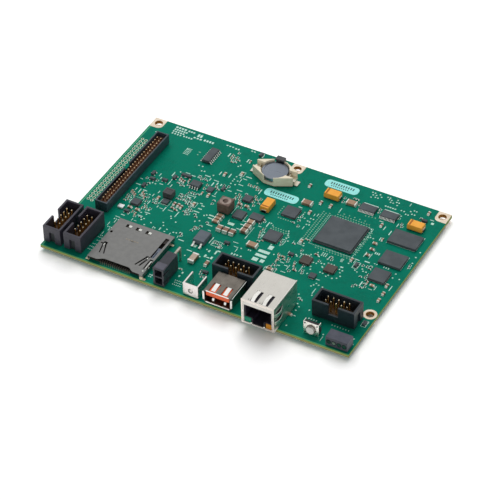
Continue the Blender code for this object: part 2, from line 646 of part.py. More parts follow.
def faceplate_bracket():
    """The origin is the middle of the front face's foot."""
    stand = station("faceplate_bracket", place(BRACKET_X, EDGE_SETBACK))
    half = BRACKET_WIDTH / 2
    bracket = new_object("faceplate_bracket", outline_mesh("fold", [
        (-half, BRACKET_DEPTH), (-half, BRACKET_SHEET), (BRACKET_SHEET - half, 0),
        (half - BRACKET_SHEET, 0), (half, BRACKET_SHEET), (half, BRACKET_DEPTH),
        (half - BRACKET_SHEET, BRACKET_DEPTH), (half - BRACKET_SHEET, BRACKET_SHEET),
        (BRACKET_SHEET - half, BRACKET_SHEET), (BRACKET_SHEET - half, BRACKET_DEPTH)],
        BRACKET_HEIGHT - SEAT_GAP, spots=((BRACKET_HEIGHT + SEAT_GAP) / 2,)), stand, pieces)
    cut(bracket, rods_mesh("thread", [((0, -OVERCUT, BRACKET_HOLE_HEIGHT), BRACKET_HOLE,
                                       BRACKET_SHEET + 2 * OVERCUT)], 12, "Y"))
    leg_middle = BRACKET_DEPTH - BRACKET_LEG_INSET
    spots = [(side * (half - BRACKET_SHEET / 2), leg_middle) for side in (-1, 1)]
    legs = [((x - BRACKET_SHEET / 2, y - BRACKET_LEG_WIDTH / 2, TAIL_END),
             (x + BRACKET_SHEET / 2, y + BRACKET_LEG_WIDTH / 2, SEAT_GAP + SUNK)) for x, y in spots]
    join(bracket, blocks_mesh("legs", legs))
    drill(stand, spots, BRACKET_LEG_WIDTH + SUNK)
    finish(bracket, (0.75, 0.72, 0.7), 0.4, 0.8)


# USB socket


def usb_socket():
    """The origin is the middle of the front face's foot."""
    stand = station("usb_socket", place(USB_X, USB_SETBACK))
    half = USB_WIDTH / 2
    shell = new_object("usb_shell", blocks_mesh("shell", [
        ((-half, 0, USB_BOTTOM), (half, USB_DEPTH, USB_TOP))]), stand, pieces)
    inner = half - USB_SHEET
    block_front = USB_DEPTH - USB_SHEET - RUN_GAP - USB_BLOCK_DEPTH
    cut(shell, blocks_mesh("inside", [((-inner, -OVERCUT, USB_BOTTOM + USB_SHEET),
                                       (inner, USB_DEPTH - USB_SHEET, USB_TOP - USB_SHEET))]))
    cut(shell, blocks_mesh("open_foot", [((-inner, block_front, 0),
                                          (inner, USB_DEPTH + OVERCUT, USB_BOTTOM + USB_SHEET + SUNK))]))
    slits = []
    rim = USB_SPRING_WIDTH / 2
    low, high = USB_TOP - 2 * USB_SHEET, USB_TOP + OVERCUT
    spring_back = USB_SPRING_FRONT + USB_SPRING_LENGTH
    for side in (-1, 1):
        middle = side * USB_SPRING_SPREAD / 2
        slits.append(((middle - rim - USB_SPRING_SLIT, USB_SPRING_FRONT, low),
                      (middle - rim, spring_back, high)))
        slits.append(((middle + rim, USB_SPRING_FRONT, low),
                      (middle + rim + USB_SPRING_SLIT, spring_back, high)))
        slits.append(((middle - rim - USB_SPRING_SLIT, USB_SPRING_FRONT - SLIT_WIDTH, low),
                      (middle + rim + USB_SPRING_SLIT, USB_SPRING_FRONT, high)))
    for third in range(3):
        cut(shell, blocks_mesh("slits", slits[third::3]))
    lip_middle = (USB_BOTTOM + USB_TOP) / 2
    lips = [((side * half - USB_LIP if side < 0 else side * half - SUNK, 0,
              lip_middle - USB_LIP_HEIGHT / 2),
             (side * half + SUNK if side < 0 else side * half + USB_LIP, USB_SHEET,
              lip_middle + USB_LIP_HEIGHT / 2)) for side in (-1, 1)]
    lips.append(((-USB_LIP_WIDTH / 2, 0, SEAT_GAP + SUNK), (USB_LIP_WIDTH / 2, USB_SHEET,
                                                         USB_BOTTOM + SUNK)))
    join(shell, blocks_mesh("lips", lips))
    bump = [(1.4 * MM, USB_BOTTOM + USB_SHEET - SUNK), (6.0 * MM, USB_BOTTOM + USB_SHEET - SUNK),
            (6.0 * MM, USB_BOTTOM + USB_SHEET), (4.2 * MM, USB_BOTTOM + 1.1 * MM),
            (3.4 * MM, USB_BOTTOM + 1.1 * MM), (1.4 * MM, USB_BOTTOM + USB_SHEET)]
    join(shell, outline_mesh("bumps", bump, USB_SPRING_WIDTH, STAMP_X,
                             (-USB_SPRING_SPREAD / 2, USB_SPRING_SPREAD / 2)))
    leg_spots = [(side * (half - USB_SHEET / 2), USB_LEG_SETBACK) for side in (-1, 1)]
    legs = [((x - USB_SHEET / 2, y - USB_LEG_WIDTH / 2, TAIL_END),
             (x + USB_SHEET / 2, y + USB_LEG_WIDTH / 2, USB_BOTTOM + USB_SHEET)) for x, y in leg_spots]
    join(shell, blocks_mesh("legs", legs))
    drill(stand, leg_spots, USB_LEG_WIDTH)
    finish(shell, (0.2, 0.19, 0.175), 0.35, 0.9)

    top = USB_TOP - USB_SHEET - RUN_GAP
    insert = new_object("usb_insert", blocks_mesh("insert", [
        ((RUN_GAP - inner, block_front, USB_BOTTOM + USB_SHEET + RUN_GAP),
         (inner - RUN_GAP, block_front + USB_BLOCK_DEPTH, top))]), stand, pieces)
    tongue_foot = top - USB_TONGUE_THICKNESS
    join(insert, blocks_mesh("tongue", [((-USB_TONGUE_WIDTH / 2, RUN_GAP, tongue_foot),
                                         (USB_TONGUE_WIDTH / 2, block_front + SUNK, top))]))
    pin_spots = mm(-3.5, -1.0, 1.0, 3.5)
    strips = [((x - USB_CONTACT_WIDTH / 2, 1.0 * MM, tongue_foot - USB_CONTACT_THICKNESS),
               (x + USB_CONTACT_WIDTH / 2, block_front + SUNK, tongue_foot + SUNK / 2)) for x in pin_spots]
    join(insert, blocks_mesh("strips", strips))
    tail_row = block_front + USB_BLOCK_DEPTH * 2 / 3
    spots = [(x, tail_row) for x in pin_spots]
    join(insert, blocks_mesh("tails", tails(spots, USB_TAIL, USB_BOTTOM + USB_SHEET + RUN_GAP + SUNK)))
    drill(stand, spots, corner_to_corner(USB_TAIL))
    finish(insert, (0.83, 0.13, 0.035), 0.45)


# Network jack


def network_jack():
    """The origin is the middle of the front face's foot, ahead of the board's front edge."""
    stand = station("network_jack", place(JACK_X, -JACK_OVERHANG))
    half = JACK_WIDTH / 2
    inner = half - JACK_SHEET
    shell = new_object("network_jack_shell", blocks_mesh("shell", [
        ((-half, 0, SEAT_GAP), (half, JACK_DEPTH, JACK_TOP))]), stand, pieces)
    cut(shell, blocks_mesh("inside", [((-inner, JACK_SHEET, 0),
                                       (inner, JACK_DEPTH - JACK_SHEET, JACK_TOP - JACK_SHEET))]))
    cut(shell, blocks_mesh("window", [((-JACK_WINDOW_WIDTH / 2, -OVERCUT, JACK_WINDOW_BOTTOM),
                                       (JACK_WINDOW_WIDTH / 2, JACK_SHEET + OVERCUT, JACK_WINDOW_TOP))]))
    finger_back = JACK_FINGER_FRONT + JACK_FINGER_LENGTH
    finger_middles = mm(-3.1, 2.4)
    slots = [((middle + JACK_FINGER_WIDTH / 2, JACK_FINGER_FRONT, JACK_TOP - 2 * JACK_SHEET),
              (middle + JACK_FINGER_WIDTH / 2 + JACK_SLOT_WIDTH, finger_back, JACK_TOP + OVERCUT))
             for middle in finger_middles]
    for side in (-1, 1):
        for height in mm(4.4, 8.8):
            reach = sorted((side * (half - 2 * JACK_SHEET), side * (half + OVERCUT)))
            slots.append(((reach[0], JACK_FINGER_FRONT, height),
                          (reach[1], finger_back, height + JACK_SLOT_WIDTH * 2 / 3)))
    cut(shell, blocks_mesh("slots", slots))
    arch = [(JACK_FINGER_FRONT + SUNK, JACK_TOP - JACK_SHEET / 2),
            (finger_back - SUNK, JACK_TOP - JACK_SHEET / 2)]
    arch += [(finger_back - SUNK - (JACK_FINGER_LENGTH - 2 * SUNK) * step / 6,
              JACK_TOP + JACK_FINGER_RISE * math.sin(math.pi * step / 6)) for step in range(7)]
    join(shell, outline_mesh("fingers", arch, JACK_FINGER_WIDTH, STAMP_X, finger_middles))
    tab_spots = [(side * (half - JACK_SHEET / 2), JACK_DEPTH - JACK_TAB_ROW) for side in (-1, 1)]
    tabs = [((x - JACK_SHEET / 2, y - USB_LEG_WIDTH / 2, TAIL_END),
             (x + JACK_SHEET / 2, y + USB_LEG_WIDTH / 2, SEAT_GAP + JACK_SHEET)) for x, y in tab_spots]
    join(shell, blocks_mesh("tabs", tabs))
    drill(stand, tab_spots, USB_LEG_WIDTH)
    finish(shell, (0.62, 0.58, 0.53), 0.4, 0.75)

    side = inner - RUN_GAP
    nose = JACK_SHEET + RUN_GAP
    top = JACK_TOP - JACK_SHEET - RUN_GAP
    insert = new_object("network_jack_insert", blocks_mesh("insert", [
        ((-side, nose, SEAT_GAP), (side, JACK_DEPTH - nose, top))]), stand, pieces)
    cut(insert, blocks_mesh("port", [((-JACK_PORT_WIDTH / 2, 0, JACK_PORT_BOTTOM),
                                      (JACK_PORT_WIDTH / 2, JACK_PORT_DEPTH, JACK_PORT_TOP))]))
    cut(insert, blocks_mesh("latch", [((-JACK_LATCH_WIDTH / 2, 0, JACK_LATCH_BOTTOM),
                                       (JACK_LATCH_WIDTH / 2, JACK_LATCH_DEPTH,
                                        JACK_PORT_BOTTOM + SUNK))]))
    bay_side = JACK_LATCH_WIDTH / 2 + JACK_LATCH_WALL
    bay_back = nose + JACK_LIGHT_LENGTH + RUN_GAP
    for hand in (-1, 1):
        reach = sorted((hand * bay_side, hand * (side + OVERCUT)))
        cut(insert, blocks_mesh("bay", [((reach[0], 0, 0), (reach[1], bay_back,
                                                            JACK_PORT_BOTTOM + SUNK))]))
    tip = JACK_PORT_DEPTH * 2 / 3
    wire = [(1.6 * MM, JACK_PORT_TOP + SUNK), (1.6 * MM, JACK_PORT_TOP - SUNK / 2),
            (tip, JACK_PORT_TOP - 2.1 * MM), (tip, JACK_PORT_TOP - 2.1 * MM + JACK_WIRE),
            (3.0 * MM, JACK_PORT_TOP + SUNK)]
    wires = [(number - (JACK_WIRES - 1) / 2) * JACK_WIRE_PITCH for number in range(JACK_WIRES)]
    join(insert, outline_mesh("wires", wire, JACK_WIRE, STAMP_X, wires))
    pegs = [(hand * JACK_PEG_SPREAD / 2, JACK_DEPTH - JACK_PEG_ROW) for hand in (-1, 1)]
    peg_foot = TAIL_END + TAIL_LENGTH / 2
    join(insert, rods_mesh("pegs", [((x, y, peg_foot), JACK_PEG, SEAT_GAP + SUNK - peg_foot)
                                    for x, y in pegs], 12))
    drill(stand, pegs, JACK_PEG + SUNK)
    spots = [((number - (JACK_WIRES - 1) / 2) * JACK_TAIL_PITCH / 2,
              JACK_DEPTH - JACK_TAIL_ROW + (number % 2) * JACK_TAIL_PITCH) for number in range(JACK_WIRES)]
    spots += [(x, JACK_DEPTH - JACK_LIGHT_TAIL_ROW) for x in mm(-6.2, -3.7, 3.7, 6.2)]
    join(insert, blocks_mesh("tails", tails(spots, JACK_TAIL, SEAT_GAP + SUNK)))
    drill(stand, spots, corner_to_corner(JACK_TAIL))
    finish(insert, (0.012, 0.012, 0.015), 0.45)

    for name, hand, colour in (("network_jack_link_light", -1, (0.03, 0.33, 0.2)),
                               ("network_jack_activity_light", 1, (0.55, 0.27, 0.02))):
        reach = sorted((hand * (bay_side + RUN_GAP), hand * side))
        light = new_object(name, blocks_mesh(name, [
            ((reach[0], nose, SEAT_GAP + RUN_GAP),
             (reach[1], nose + JACK_LIGHT_LENGTH, JACK_PORT_BOTTOM - RUN_GAP))]), stand, pieces)
        round_edges(light, CORNER)
        finish(light, colour, 0.25)


# Reset switch and status lights


def reset_switch():
    """The origin is the middle of the front plate's foot."""
    stand = station("reset_switch", place(SWITCH_X, SWITCH_SETBACK))
    half = SWITCH_PLATE_WIDTH / 2
    hole = BUTTON_DIAMETER + 2 * RUN_GAP
    frame = new_object("reset_switch_frame", blocks_mesh("plate", [
        ((-half, 0, SEAT_GAP), (half, SWITCH_SHEET, SWITCH_PLATE_TOP))]), stand, pieces)
    wings = [((x, SWITCH_SHEET - SUNK, SWITCH_PLATE_TOP - SWITCH_WING_HEIGHT),
              (x + SWITCH_SHEET, SWITCH_WING_DEPTH, SWITCH_PLATE_TOP))
             for x in (-half, half - SWITCH_SHEET)]
    join(frame, blocks_mesh("wings", wings))
    leg_spots = [(side * (half - SWITCH_LEG / 2), SWITCH_SHEET / 2) for side in (-1, 1)]
    legs = [((x - SWITCH_LEG / 2, 0, TAIL_END), (x + SWITCH_LEG / 2, SWITCH_SHEET, SEAT_GAP + SUNK))
            for x, y in leg_spots]
    join(frame, blocks_mesh("legs", legs))
    drill(stand, leg_spots, corner_to_corner(SWITCH_LEG))
    cut(frame, rods_mesh("hole", [((0, -OVERCUT, SWITCH_CENTRE), hole, SWITCH_SHEET + 2 * OVERCUT)],
                         16, "Y"))
    finish(frame, (0.78, 0.76, 0.73), 0.3, 0.85)

    body_front = SWITCH_SHEET + RUN_GAP
    body_half = SWITCH_BODY_WIDTH / 2
    body = new_object("reset_switch_body", blocks_mesh("body", [
        ((-body_half, body_front, SEAT_GAP + RUN_GAP),
         (body_half, body_front + SWITCH_BODY_DEPTH, SEAT_GAP + RUN_GAP + SWITCH_BODY_HEIGHT))]),
        stand, pieces)
    flange_back = body_front + BUTTON_FLANGE_THICKNESS
    well_back = flange_back + BUTTON_TRAVEL + RUN_GAP
    cut(body, rods_mesh("well", [((0, 0, SWITCH_CENTRE), BUTTON_FLANGE_DIAMETER + 2 * RUN_GAP,
                                  well_back)], 16, "Y"))
    pin_row = body_front + SWITCH_BODY_DEPTH - SWITCH_LEG
    spots = [(side * body_half * 2 / 3, pin_row) for side in (-1, 1)]
    join(body, blocks_mesh("tails", tails(spots, SWITCH_LEG, SEAT_GAP + RUN_GAP + SUNK)))
    drill(stand, spots, corner_to_corner(SWITCH_LEG))
    finish(body, (0.03, 0.03, 0.033), 0.5)

    button = new_object("reset_switch_button", rods_mesh("stem", [
        ((0, -BUTTON_REACH, 0), BUTTON_DIAMETER, BUTTON_REACH + flange_back)], 16, "Y"), stand, pieces)
    button.location = (0, 0, SWITCH_CENTRE)
    flange = rods_mesh("flange", [((0, body_front, SWITCH_CENTRE), BUTTON_FLANGE_DIAMETER,
                                   BUTTON_FLANGE_THICKNESS)], 16, "Y")
    join(button, flange)
    finish(button, (0.42, 0.42, 0.4), 0.45)


def status_lights():
    """The origin is the middle of the front face's foot."""
    stand = station("status_lights", place(LIGHTS_X, LIGHT_SETBACK))
    half = LIGHT_BLOCK_WIDTH / 2
    block = new_object("status_light_block", blocks_mesh("block", [
        ((-half, 0, SEAT_GAP), (half, LIGHT_BLOCK_DEPTH, LIGHT_BLOCK_TOP))]), stand, pieces)
    middles = [(number - (LIGHT_COUNT - 1) / 2) * LIGHT_PITCH for number in range(LIGHT_COUNT)]
    pockets = [((x, -OVERCUT, LIGHT_HEIGHT), LIGHT_DIAMETER + 1.5 * RUN_GAP, LIGHT_POCKET + OVERCUT)
               for x in middles]
    cut(block, rods_mesh("pockets", pockets, 12, "Y"))
    rows = [(LIGHT_BLOCK_DEPTH + side * LIGHT_LEAD_ROWS) / 2 for side in (-1, 1)]
    spots = [(x, y) for x in middles for y in rows]
    join(block, blocks_mesh("leads", tails(spots, LIGHT_LEAD, SEAT_GAP + SUNK)))
    drill(stand, spots, corner_to_corner(LIGHT_LEAD))
    finish(block, (0.07, 0.07, 0.085), 0.5)
    colours = ((0.01, 0.08, 0.05), (0.2, 0.22, 0.2), (0.01, 0.09, 0.06), (0.01, 0.09, 0.06))
    for number, (x, colour) in enumerate(zip(middles, colours), 1):
        name = f"status_light_{number}"
        length = LIGHT_PROUD + LIGHT_POCKET - RUN_GAP
        light = new_object(name, rods_mesh(name, [((0, 0, 0), LIGHT_DIAMETER, length)], 12, "Y"),
                           stand, pieces)
        light.location = (x, -LIGHT_PROUD, LIGHT_HEIGHT)
        round_edges(light, LIGHT_DIAMETER / 6)
        finish(light, colour, 0.2)


# Coin cell


def coin_cell():
    """The origin is the middle of the cell."""
    stand = station("coin_cell", share(45.9, 87.3))
    corners = [(HOLDER_HALF_LENGTH, HOLDER_END_HALF), (HOLDER_FRONT_HALF, HOLDER_HALF_DEPTH)]
    octagon = [(x, y) for x, y in corners]
    octagon += [(-x, y) for x, y in reversed(corners)]
    octagon += [(-x, -y) for x, y in corners]
    octagon += [(x, -y) for x, y in reversed(corners)]
    holder = new_object("coin_cell_holder", outline_mesh("ring", octagon, HOLDER_TOP - SEAT_GAP,
                        spots=((HOLDER_TOP + SEAT_GAP) / 2,)), stand, pieces)
    floor = SEAT_GAP + HOLDER_FLOOR
    cell_foot = floor + RUN_GAP
    cut(holder, rods_mesh("pocket", [((0, 0, floor), CELL_DIAMETER + 2 * RUN_GAP, HOLDER_TOP)], 32))
    end_half = CONTACT_WIDTH / 2 + RUN_GAP
    for side in (-1, 1):
        reach = sorted((side * CELL_DIAMETER / 3, side * (HOLDER_HALF_LENGTH + OVERCUT)))
        cut(holder, blocks_mesh("end", [((reach[0], -end_half, floor),
                                         (reach[1], end_half, HOLDER_TOP + OVERCUT))]))
    sill = floor + HOLDER_GAP_SILL
    clip_left = CLIP_OFFSET - CLIP_WIDTH / 2
    gaps = [((-HOLDER_GAP_WIDTH / 2, -HOLDER_HALF_DEPTH - OVERCUT, sill),
             (HOLDER_GAP_WIDTH / 2, -CELL_DIAMETER / 3, HOLDER_TOP + OVERCUT)),
            ((clip_left - RUN_GAP, CELL_DIAMETER / 3, sill),
             (clip_left + CLIP_WIDTH + RUN_GAP, HOLDER_HALF_DEPTH + OVERCUT, HOLDER_TOP + OVERCUT))]
    cut(holder, blocks_mesh("gaps", gaps))
    finish(holder, (0.62, 0.56, 0.42), 0.6)

    cell = new_object("coin_cell", rods_mesh("cell", [
        ((0, 0, cell_foot), CELL_DIAMETER, CELL_THICKNESS)], 32), stand, pieces)
    round_edges(cell, CORNER)
    finish(cell, (0.24, 0.27, 0.3), 0.35, 0.8)

    sheet = CONTACT_THICKNESS
    outside = HOLDER_HALF_LENGTH + RUN_GAP
    strip = [(CONTACT_POST, cell_foot), (outside, cell_foot), (outside, SEAT_GAP),
             (outside + CONTACT_FOOT, SEAT_GAP), (outside + CONTACT_FOOT, SEAT_GAP + sheet),
             (outside + sheet, SEAT_GAP + sheet), (outside + sheet, cell_foot + sheet),
             (CONTACT_POST + sheet, cell_foot + sheet), (CONTACT_POST + sheet, CONTACT_POST_TOP),
             (CONTACT_POST, CONTACT_POST_TOP)]
    for name, hand in (("coin_cell_contact_left", -1), ("coin_cell_contact_right", 1)):
        path = [(hand * x, z) for x, z in strip]
        contact = new_object(name, outline_mesh(name, path, CONTACT_WIDTH, STAMP_Y), stand, pieces)
        finish(contact, (0.8, 0.77, 0.7), 0.35, 0.8)

    clip_front = HOLDER_HALF_DEPTH + RUN_GAP
    lip_foot = cell_foot + CELL_THICKNESS + RUN_GAP
    hook = [(clip_front, SEAT_GAP), (clip_front + CLIP_DEPTH, SEAT_GAP), (clip_front + CLIP_DEPTH, CLIP_TOP),
            (clip_front - CLIP_LIP, CLIP_TOP), (clip_front - CLIP_LIP, lip_foot), (clip_front, lip_foot)]
    clip = new_object("coin_cell_clip", outline_mesh("clip", hook, CLIP_WIDTH, STAMP_X, (CLIP_OFFSET,)),
                      stand, pieces)
    finish(clip, (0.07, 0.075, 0.075), 0.5)


# Chips


def chip(name, spot, length, depth, height, colour=(0.1, 0.1, 0.11), corner=CORNER):
    """A moulded package without leads."""
    stand = station(name, spot)
    item = new_object(name, blocks_mesh(name, [
        ((-length / 2, -depth / 2, SEAT_GAP), (length / 2, depth / 2, height))]), stand, pieces)
    if corner:
        round_edges(item, corner)
    finish(item, colour, 0.55)
    return item


def leaded_chip(name, spot, length, depth, height, count, pitch, width, colour=(0.08, 0.08, 0.09)):
    """A moulded package with bent leads along its front and back."""
    item = chip(name, spot, length, depth, height, colour, 0)
    side = depth / 2
    waist = (SEAT_GAP + height) / 2
    foot = side + LEAD_REACH
    lead = [(side - SUNK, waist), (side + LEAD_FOOT - LEAD_THICKNESS, waist), (side + LEAD_FOOT, SEAT_GAP),
            (foot, SEAT_GAP), (foot, SEAT_GAP + LEAD_THICKNESS),
            (side + LEAD_FOOT + LEAD_THICKNESS, SEAT_GAP + LEAD_THICKNESS),
            (side + LEAD_FOOT, waist + LEAD_THICKNESS), (side - SUNK, waist + LEAD_THICKNESS)]
    spots = [(number - (count - 1) / 2) * pitch for number in range(count)]
    join(item, outline_mesh("back_leads", lead, width, STAMP_X, spots))
    join(item, outline_mesh("front_leads", [(-y, z) for y, z in lead], width, STAMP_X, spots))
    return item


def chips():
    chip("processor", share(75.5, 65.2), *PROCESSOR)
    chip("memory_chip_back", share(93.0, 75.0), *LARGE_MEMORY)
    chip("memory_chip_middle", share(93.7, 60.8), *SMALL_MEMORY)
    chip("network_chip", share(93.2, 49.0), *NETWORK_CHIP)
    chip("controller_chip_upper", share(57.9, 68.7), *CONTROLLER_CHIP)
    chip("controller_chip_lower", share(58.2, 50.7), *CONTROLLER_CHIP)
    chip("converter_chip_left", share(71.6, 43.5), *CONVERTER_CHIP, (0.1, 0.09, 0.08))
    chip("converter_chip_right", share(79.5, 43.3), *CONVERTER_CHIP, (0.1, 0.09, 0.08))
    chip("square_chip_back", share(43.7, 67.9), *SQUARE_CHIP_BACK)
    chip("square_chip_front", share(45.0, 56.7), *SQUARE_CHIP_FRONT)
    chip("sensor_chip", share(15.2, 43.2), *SENSOR_CHIP)
    chip("clock_chip", share(50.1, 58.4), *CLOCK_CHIP)
    leaded_chip("logic_chip", share(24.3, 86.3, TURNED_LEFT), *LOGIC_CHIP, 8,
                *WIDE_LEADS)
    leaded_chip("transceiver_chip", share(27.0, 65.6), *TRANSCEIVER_CHIP, 4, *WIDE_LEADS)
    leaded_chip("driver_chip_left", share(77.2, 86.4), *DRIVER_CHIP, 12, *FINE_LEADS)
    leaded_chip("driver_chip_right", share(84.1, 86.4), *DRIVER_CHIP, 12, *FINE_LEADS)


# Capacitors, inductors and the regulator


def moulded_capacitor(name, spot):
    """A moulded tantalum capacitor, with a strip terminal folded under each end."""
    item = chip(name, spot, *TANTALUM, (0.9, 0.4, 0.06))
    end = TANTALUM[0] / 2
    width, lap, rise = TANTALUM_TERMINAL
    terminals = []
    for hand in (-1, 1):
        reach = sorted((hand * (end - SUNK), hand * (end + lap)))
        terminals.append(((reach[0], -width / 2, SEAT_GAP + lap), (reach[1], width / 2, SEAT_GAP + rise)))
    join(item, blocks_mesh("terminals", terminals))


def voltage_regulator():
    """A power package: a moulded body on a metal tab, with two bent leads in front."""
    item = chip("voltage_regulator", share(40.6, 35.1), *REGULATOR, (0.14, 0.14, 0.15), 0)
    side = REGULATOR[1] / 2
    width, reach, sheet = REGULATOR_TAB
    join(item, blocks_mesh("tab", [((-width / 2, side - SUNK, SEAT_GAP),
                                    (width / 2, side + reach, SEAT_GAP + sheet))]))
    width, reach, sheet = REGULATOR_LEAD
    low, bend, toe = 2 * sheet, -side - reach / 4, -side - reach
    lead = [(SUNK - side, low), (bend, low), (bend - sheet, SEAT_GAP), (toe, SEAT_GAP),
            (toe, SEAT_GAP + sheet), (bend - sheet - SUNK, SEAT_GAP + sheet), (bend, low + sheet),
            (SUNK - side, low + sheet)]
    half = REGULATOR_LEAD_SPREAD / 2
    join(item, outline_mesh("leads", lead, width, STAMP_X, (-half, half)))


def big_passives():
    moulded_capacitor("tantalum_capacitor_left", share(50.6, 67.3, TURNED_LEFT))
    moulded_capacitor("tantalum_capacitor_back", share(65.4, 86.9))
    moulded_capacitor("tantalum_capacitor_right", share(93.3, 84.6))
    chip("power_inductor", share(40.2, 57.3), *POWER_INDUCTOR, (0.2, 0.15, 0.13), 1.0 * MM)
    chip("small_inductor", share(22.3, 53.9), *SMALL_INDUCTOR, (0.12, 0.12, 0.13))
    chip("surge_fuse", place(POWER_X + FUSE_SHIFT, FUSE_SETBACK), *SURGE_FUSE, (0.5, 0.45, 0.38))
    voltage_regulator()


# Small parts that are soldered flat on the board: length, depth and height of each kind
SMALL_KINDS = {
    "square_block": mm(3.0, 3.2, 1.5),
    "large": mm(4.8, 3.0, 1.3),
    "medium": mm(3.2, 2.5, 1.5),
    "middling": mm(3.2, 1.6, 1.1),
    "small": mm(2.0, 1.25, 0.8),
    "tiny": mm(1.6, 0.8, 0.6),
    "transistor": mm(2.6, 1.5, 1.0),
}
# Where they lie, in hundredths of the board's length and of its depth
SMALL_PARTS = {
    "square_block": ((11.9, 38.8),),
    "large": ((60.1, 77.6), (71.7, 86.4), (54.7, 41.3)),
    "medium": ((49.7, 54.3), (49.7, 51.2), (49.7, 48.0)),
    "middling": ((40.2, 52.4), (40.2, 50.2), (40.2, 48.0), (64.0, 31.3)),
    "small": ((14.2, 39.7), (17.0, 39.7), (32.0, 79.0), (32.5, 77.0), (36.6, 82.9),
              (25.3, 50.3), (27.3, 50.3), (42.7, 63.6), (45.0, 63.6), (85.7, 67.2),
              (86.1, 63.5), (86.2, 59.3), (93.1, 42.1), (19.9, 49.2), (88.7, 38.0)),
    "tiny": ((12.8, 64.2), (16.0, 59.4), (13.3, 55.7), (29.8, 62.8), (30.2, 70.5),
             (22.0, 70.3), (23.6, 64.0), (19.9, 66.7), (34.8, 40.4), (45.5, 36.2),
             (47.6, 38.8), (66.5, 44.5), (61.8, 30.5)),
    "transistor": ((14.0, 60.7), (17.4, 62.7), (32.1, 65.7), (34.8, 69.3), (49.0, 28.9),
                   (37.4, 97.8), (76.2, 36.2), (94.1, 90.7), (14.8, 36.3)),
}
# The same kinds, turned a quarter round
SMALL_PARTS_TURNED = {
    "medium": ((42.8, 44.7), (44.9, 44.7), (47.0, 44.7)),
    "middling": ((57.2, 89.2), (22.5, 48.4)),
    "small": ((63.6, 81.1), (66.8, 81.2), (93.8, 96.1), (84.1, 78.7), (62.8, 72.6),
              (66.5, 53.7), (83.1, 53.1), (30.8, 53.9), (97.2, 45.2), (97.4, 40.2),
              (97.5, 35.4), (36.3, 91.2), (69.2, 38.8)),
    "tiny": ((62.5, 61.7), (85.2, 50.8), (86.8, 52.5), (86.9, 71.4), (67.2, 42.3),
             (33.6, 54.9), (12.7, 33.1), (68.8, 35.6)),
}


def small_part_boxes(parts, turned):
    """The blocks of the small parts, in the part's frame, standing in the board's top face."""
    boxes = []
    for kind, spots in parts.items():
        length, depth, height = SMALL_KINDS[kind]
        if turned:
            length, depth = depth, length
        for spot in spots:
            x, y, z = share(*spot).translation
            boxes.append(((x - length / 2, y - depth / 2, z - SUNK),
                          (x + length / 2, y + depth / 2, z + height)))
    return boxes


def circuit_board():
    """The bare board, its holes and the small parts soldered flat on it."""
    corner = place(0, 0).translation
    board = new_object("circuit_board", blocks_mesh("board", [
        (corner - Vector((0, 0, BOARD_THICKNESS)),
         corner + Vector((BOARD_LENGTH, BOARD_DEPTH, 0)))]), None, pieces)
    parts = small_part_boxes(SMALL_PARTS, False) + small_part_boxes(SMALL_PARTS_TURNED, True)
    join(board, blocks_mesh("small_parts", parts))
    through = BOARD_THICKNESS + 2 * OVERCUT
    down = Vector((0, 0, BOARD_THICKNESS + OVERCUT))
    back_row = BOARD_DEPTH - MOUNT_INSET
    right_side = BOARD_LENGTH - MOUNT_INSET
    mounts = [(MOUNT_INSET, back_row), (BOARD_LENGTH / 2, back_row), (right_side, back_row),
              (right_side, FRONT_MOUNT_SETBACK)]
    cut(board, rods_mesh("mounts", [(place(*spot).translation - down, MOUNT_HOLE, through)
                                    for spot in mounts], 24))
    cut(board, rods_mesh("tail_holes", [(spot - down, diameter, through)
                                        for spot, diameter in drilled], 6))
    finish(board, (0.0, 0.19, 0.12), 0.35)


pin_headers()
card_socket()
power_header()
faceplate_bracket()
usb_socket()
network_jack()
reset_switch()
status_lights()
coin_cell()
chips()
big_passives()
circuit_board()
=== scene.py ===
import math

import bmesh
import bpy
from mathutils import Matrix, Vector


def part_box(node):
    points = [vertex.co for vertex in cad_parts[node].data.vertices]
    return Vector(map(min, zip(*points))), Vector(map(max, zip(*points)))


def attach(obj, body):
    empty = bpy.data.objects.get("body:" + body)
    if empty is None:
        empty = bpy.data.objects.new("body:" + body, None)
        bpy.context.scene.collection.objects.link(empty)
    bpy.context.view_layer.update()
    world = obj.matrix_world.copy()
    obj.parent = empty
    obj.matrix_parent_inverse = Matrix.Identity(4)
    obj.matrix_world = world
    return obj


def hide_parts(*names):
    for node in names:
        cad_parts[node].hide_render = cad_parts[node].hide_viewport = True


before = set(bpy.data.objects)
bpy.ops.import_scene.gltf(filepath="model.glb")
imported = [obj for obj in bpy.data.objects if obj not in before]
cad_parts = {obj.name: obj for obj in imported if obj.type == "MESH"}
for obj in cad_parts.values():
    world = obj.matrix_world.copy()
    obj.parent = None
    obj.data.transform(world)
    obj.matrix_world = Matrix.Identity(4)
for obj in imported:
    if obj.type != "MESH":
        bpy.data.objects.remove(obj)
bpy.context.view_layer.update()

# Camera. It looks down on the board from the front right through a long lens, so the board's
# two long edges run almost parallel in the picture.
azimuth, elevation, roll = math.radians(29.55), math.radians(41.32), math.radians(-1.34)
backward = Vector((math.sin(azimuth) * math.cos(elevation),
                   -math.cos(azimuth) * math.cos(elevation), math.sin(elevation)))
level = Vector((math.cos(azimuth), math.sin(azimuth), 0))
upright = backward.cross(level)
axes = Matrix((math.cos(roll) * level + math.sin(roll) * upright,
               math.cos(roll) * upright - math.sin(roll) * level, backward)).transposed()
looked_at = Vector((0.00763, -0.00991, 0.0031))
bpy.ops.object.select_all(action="DESELECT")
bpy.ops.object.camera_add(location=looked_at + 1.10976 * backward, rotation=axes.to_euler())
camera = bpy.context.object
camera.data.lens = 182.0
camera.data.sensor_width = 36.0
camera.data.clip_start = 0.01
bpy.context.scene.camera = camera

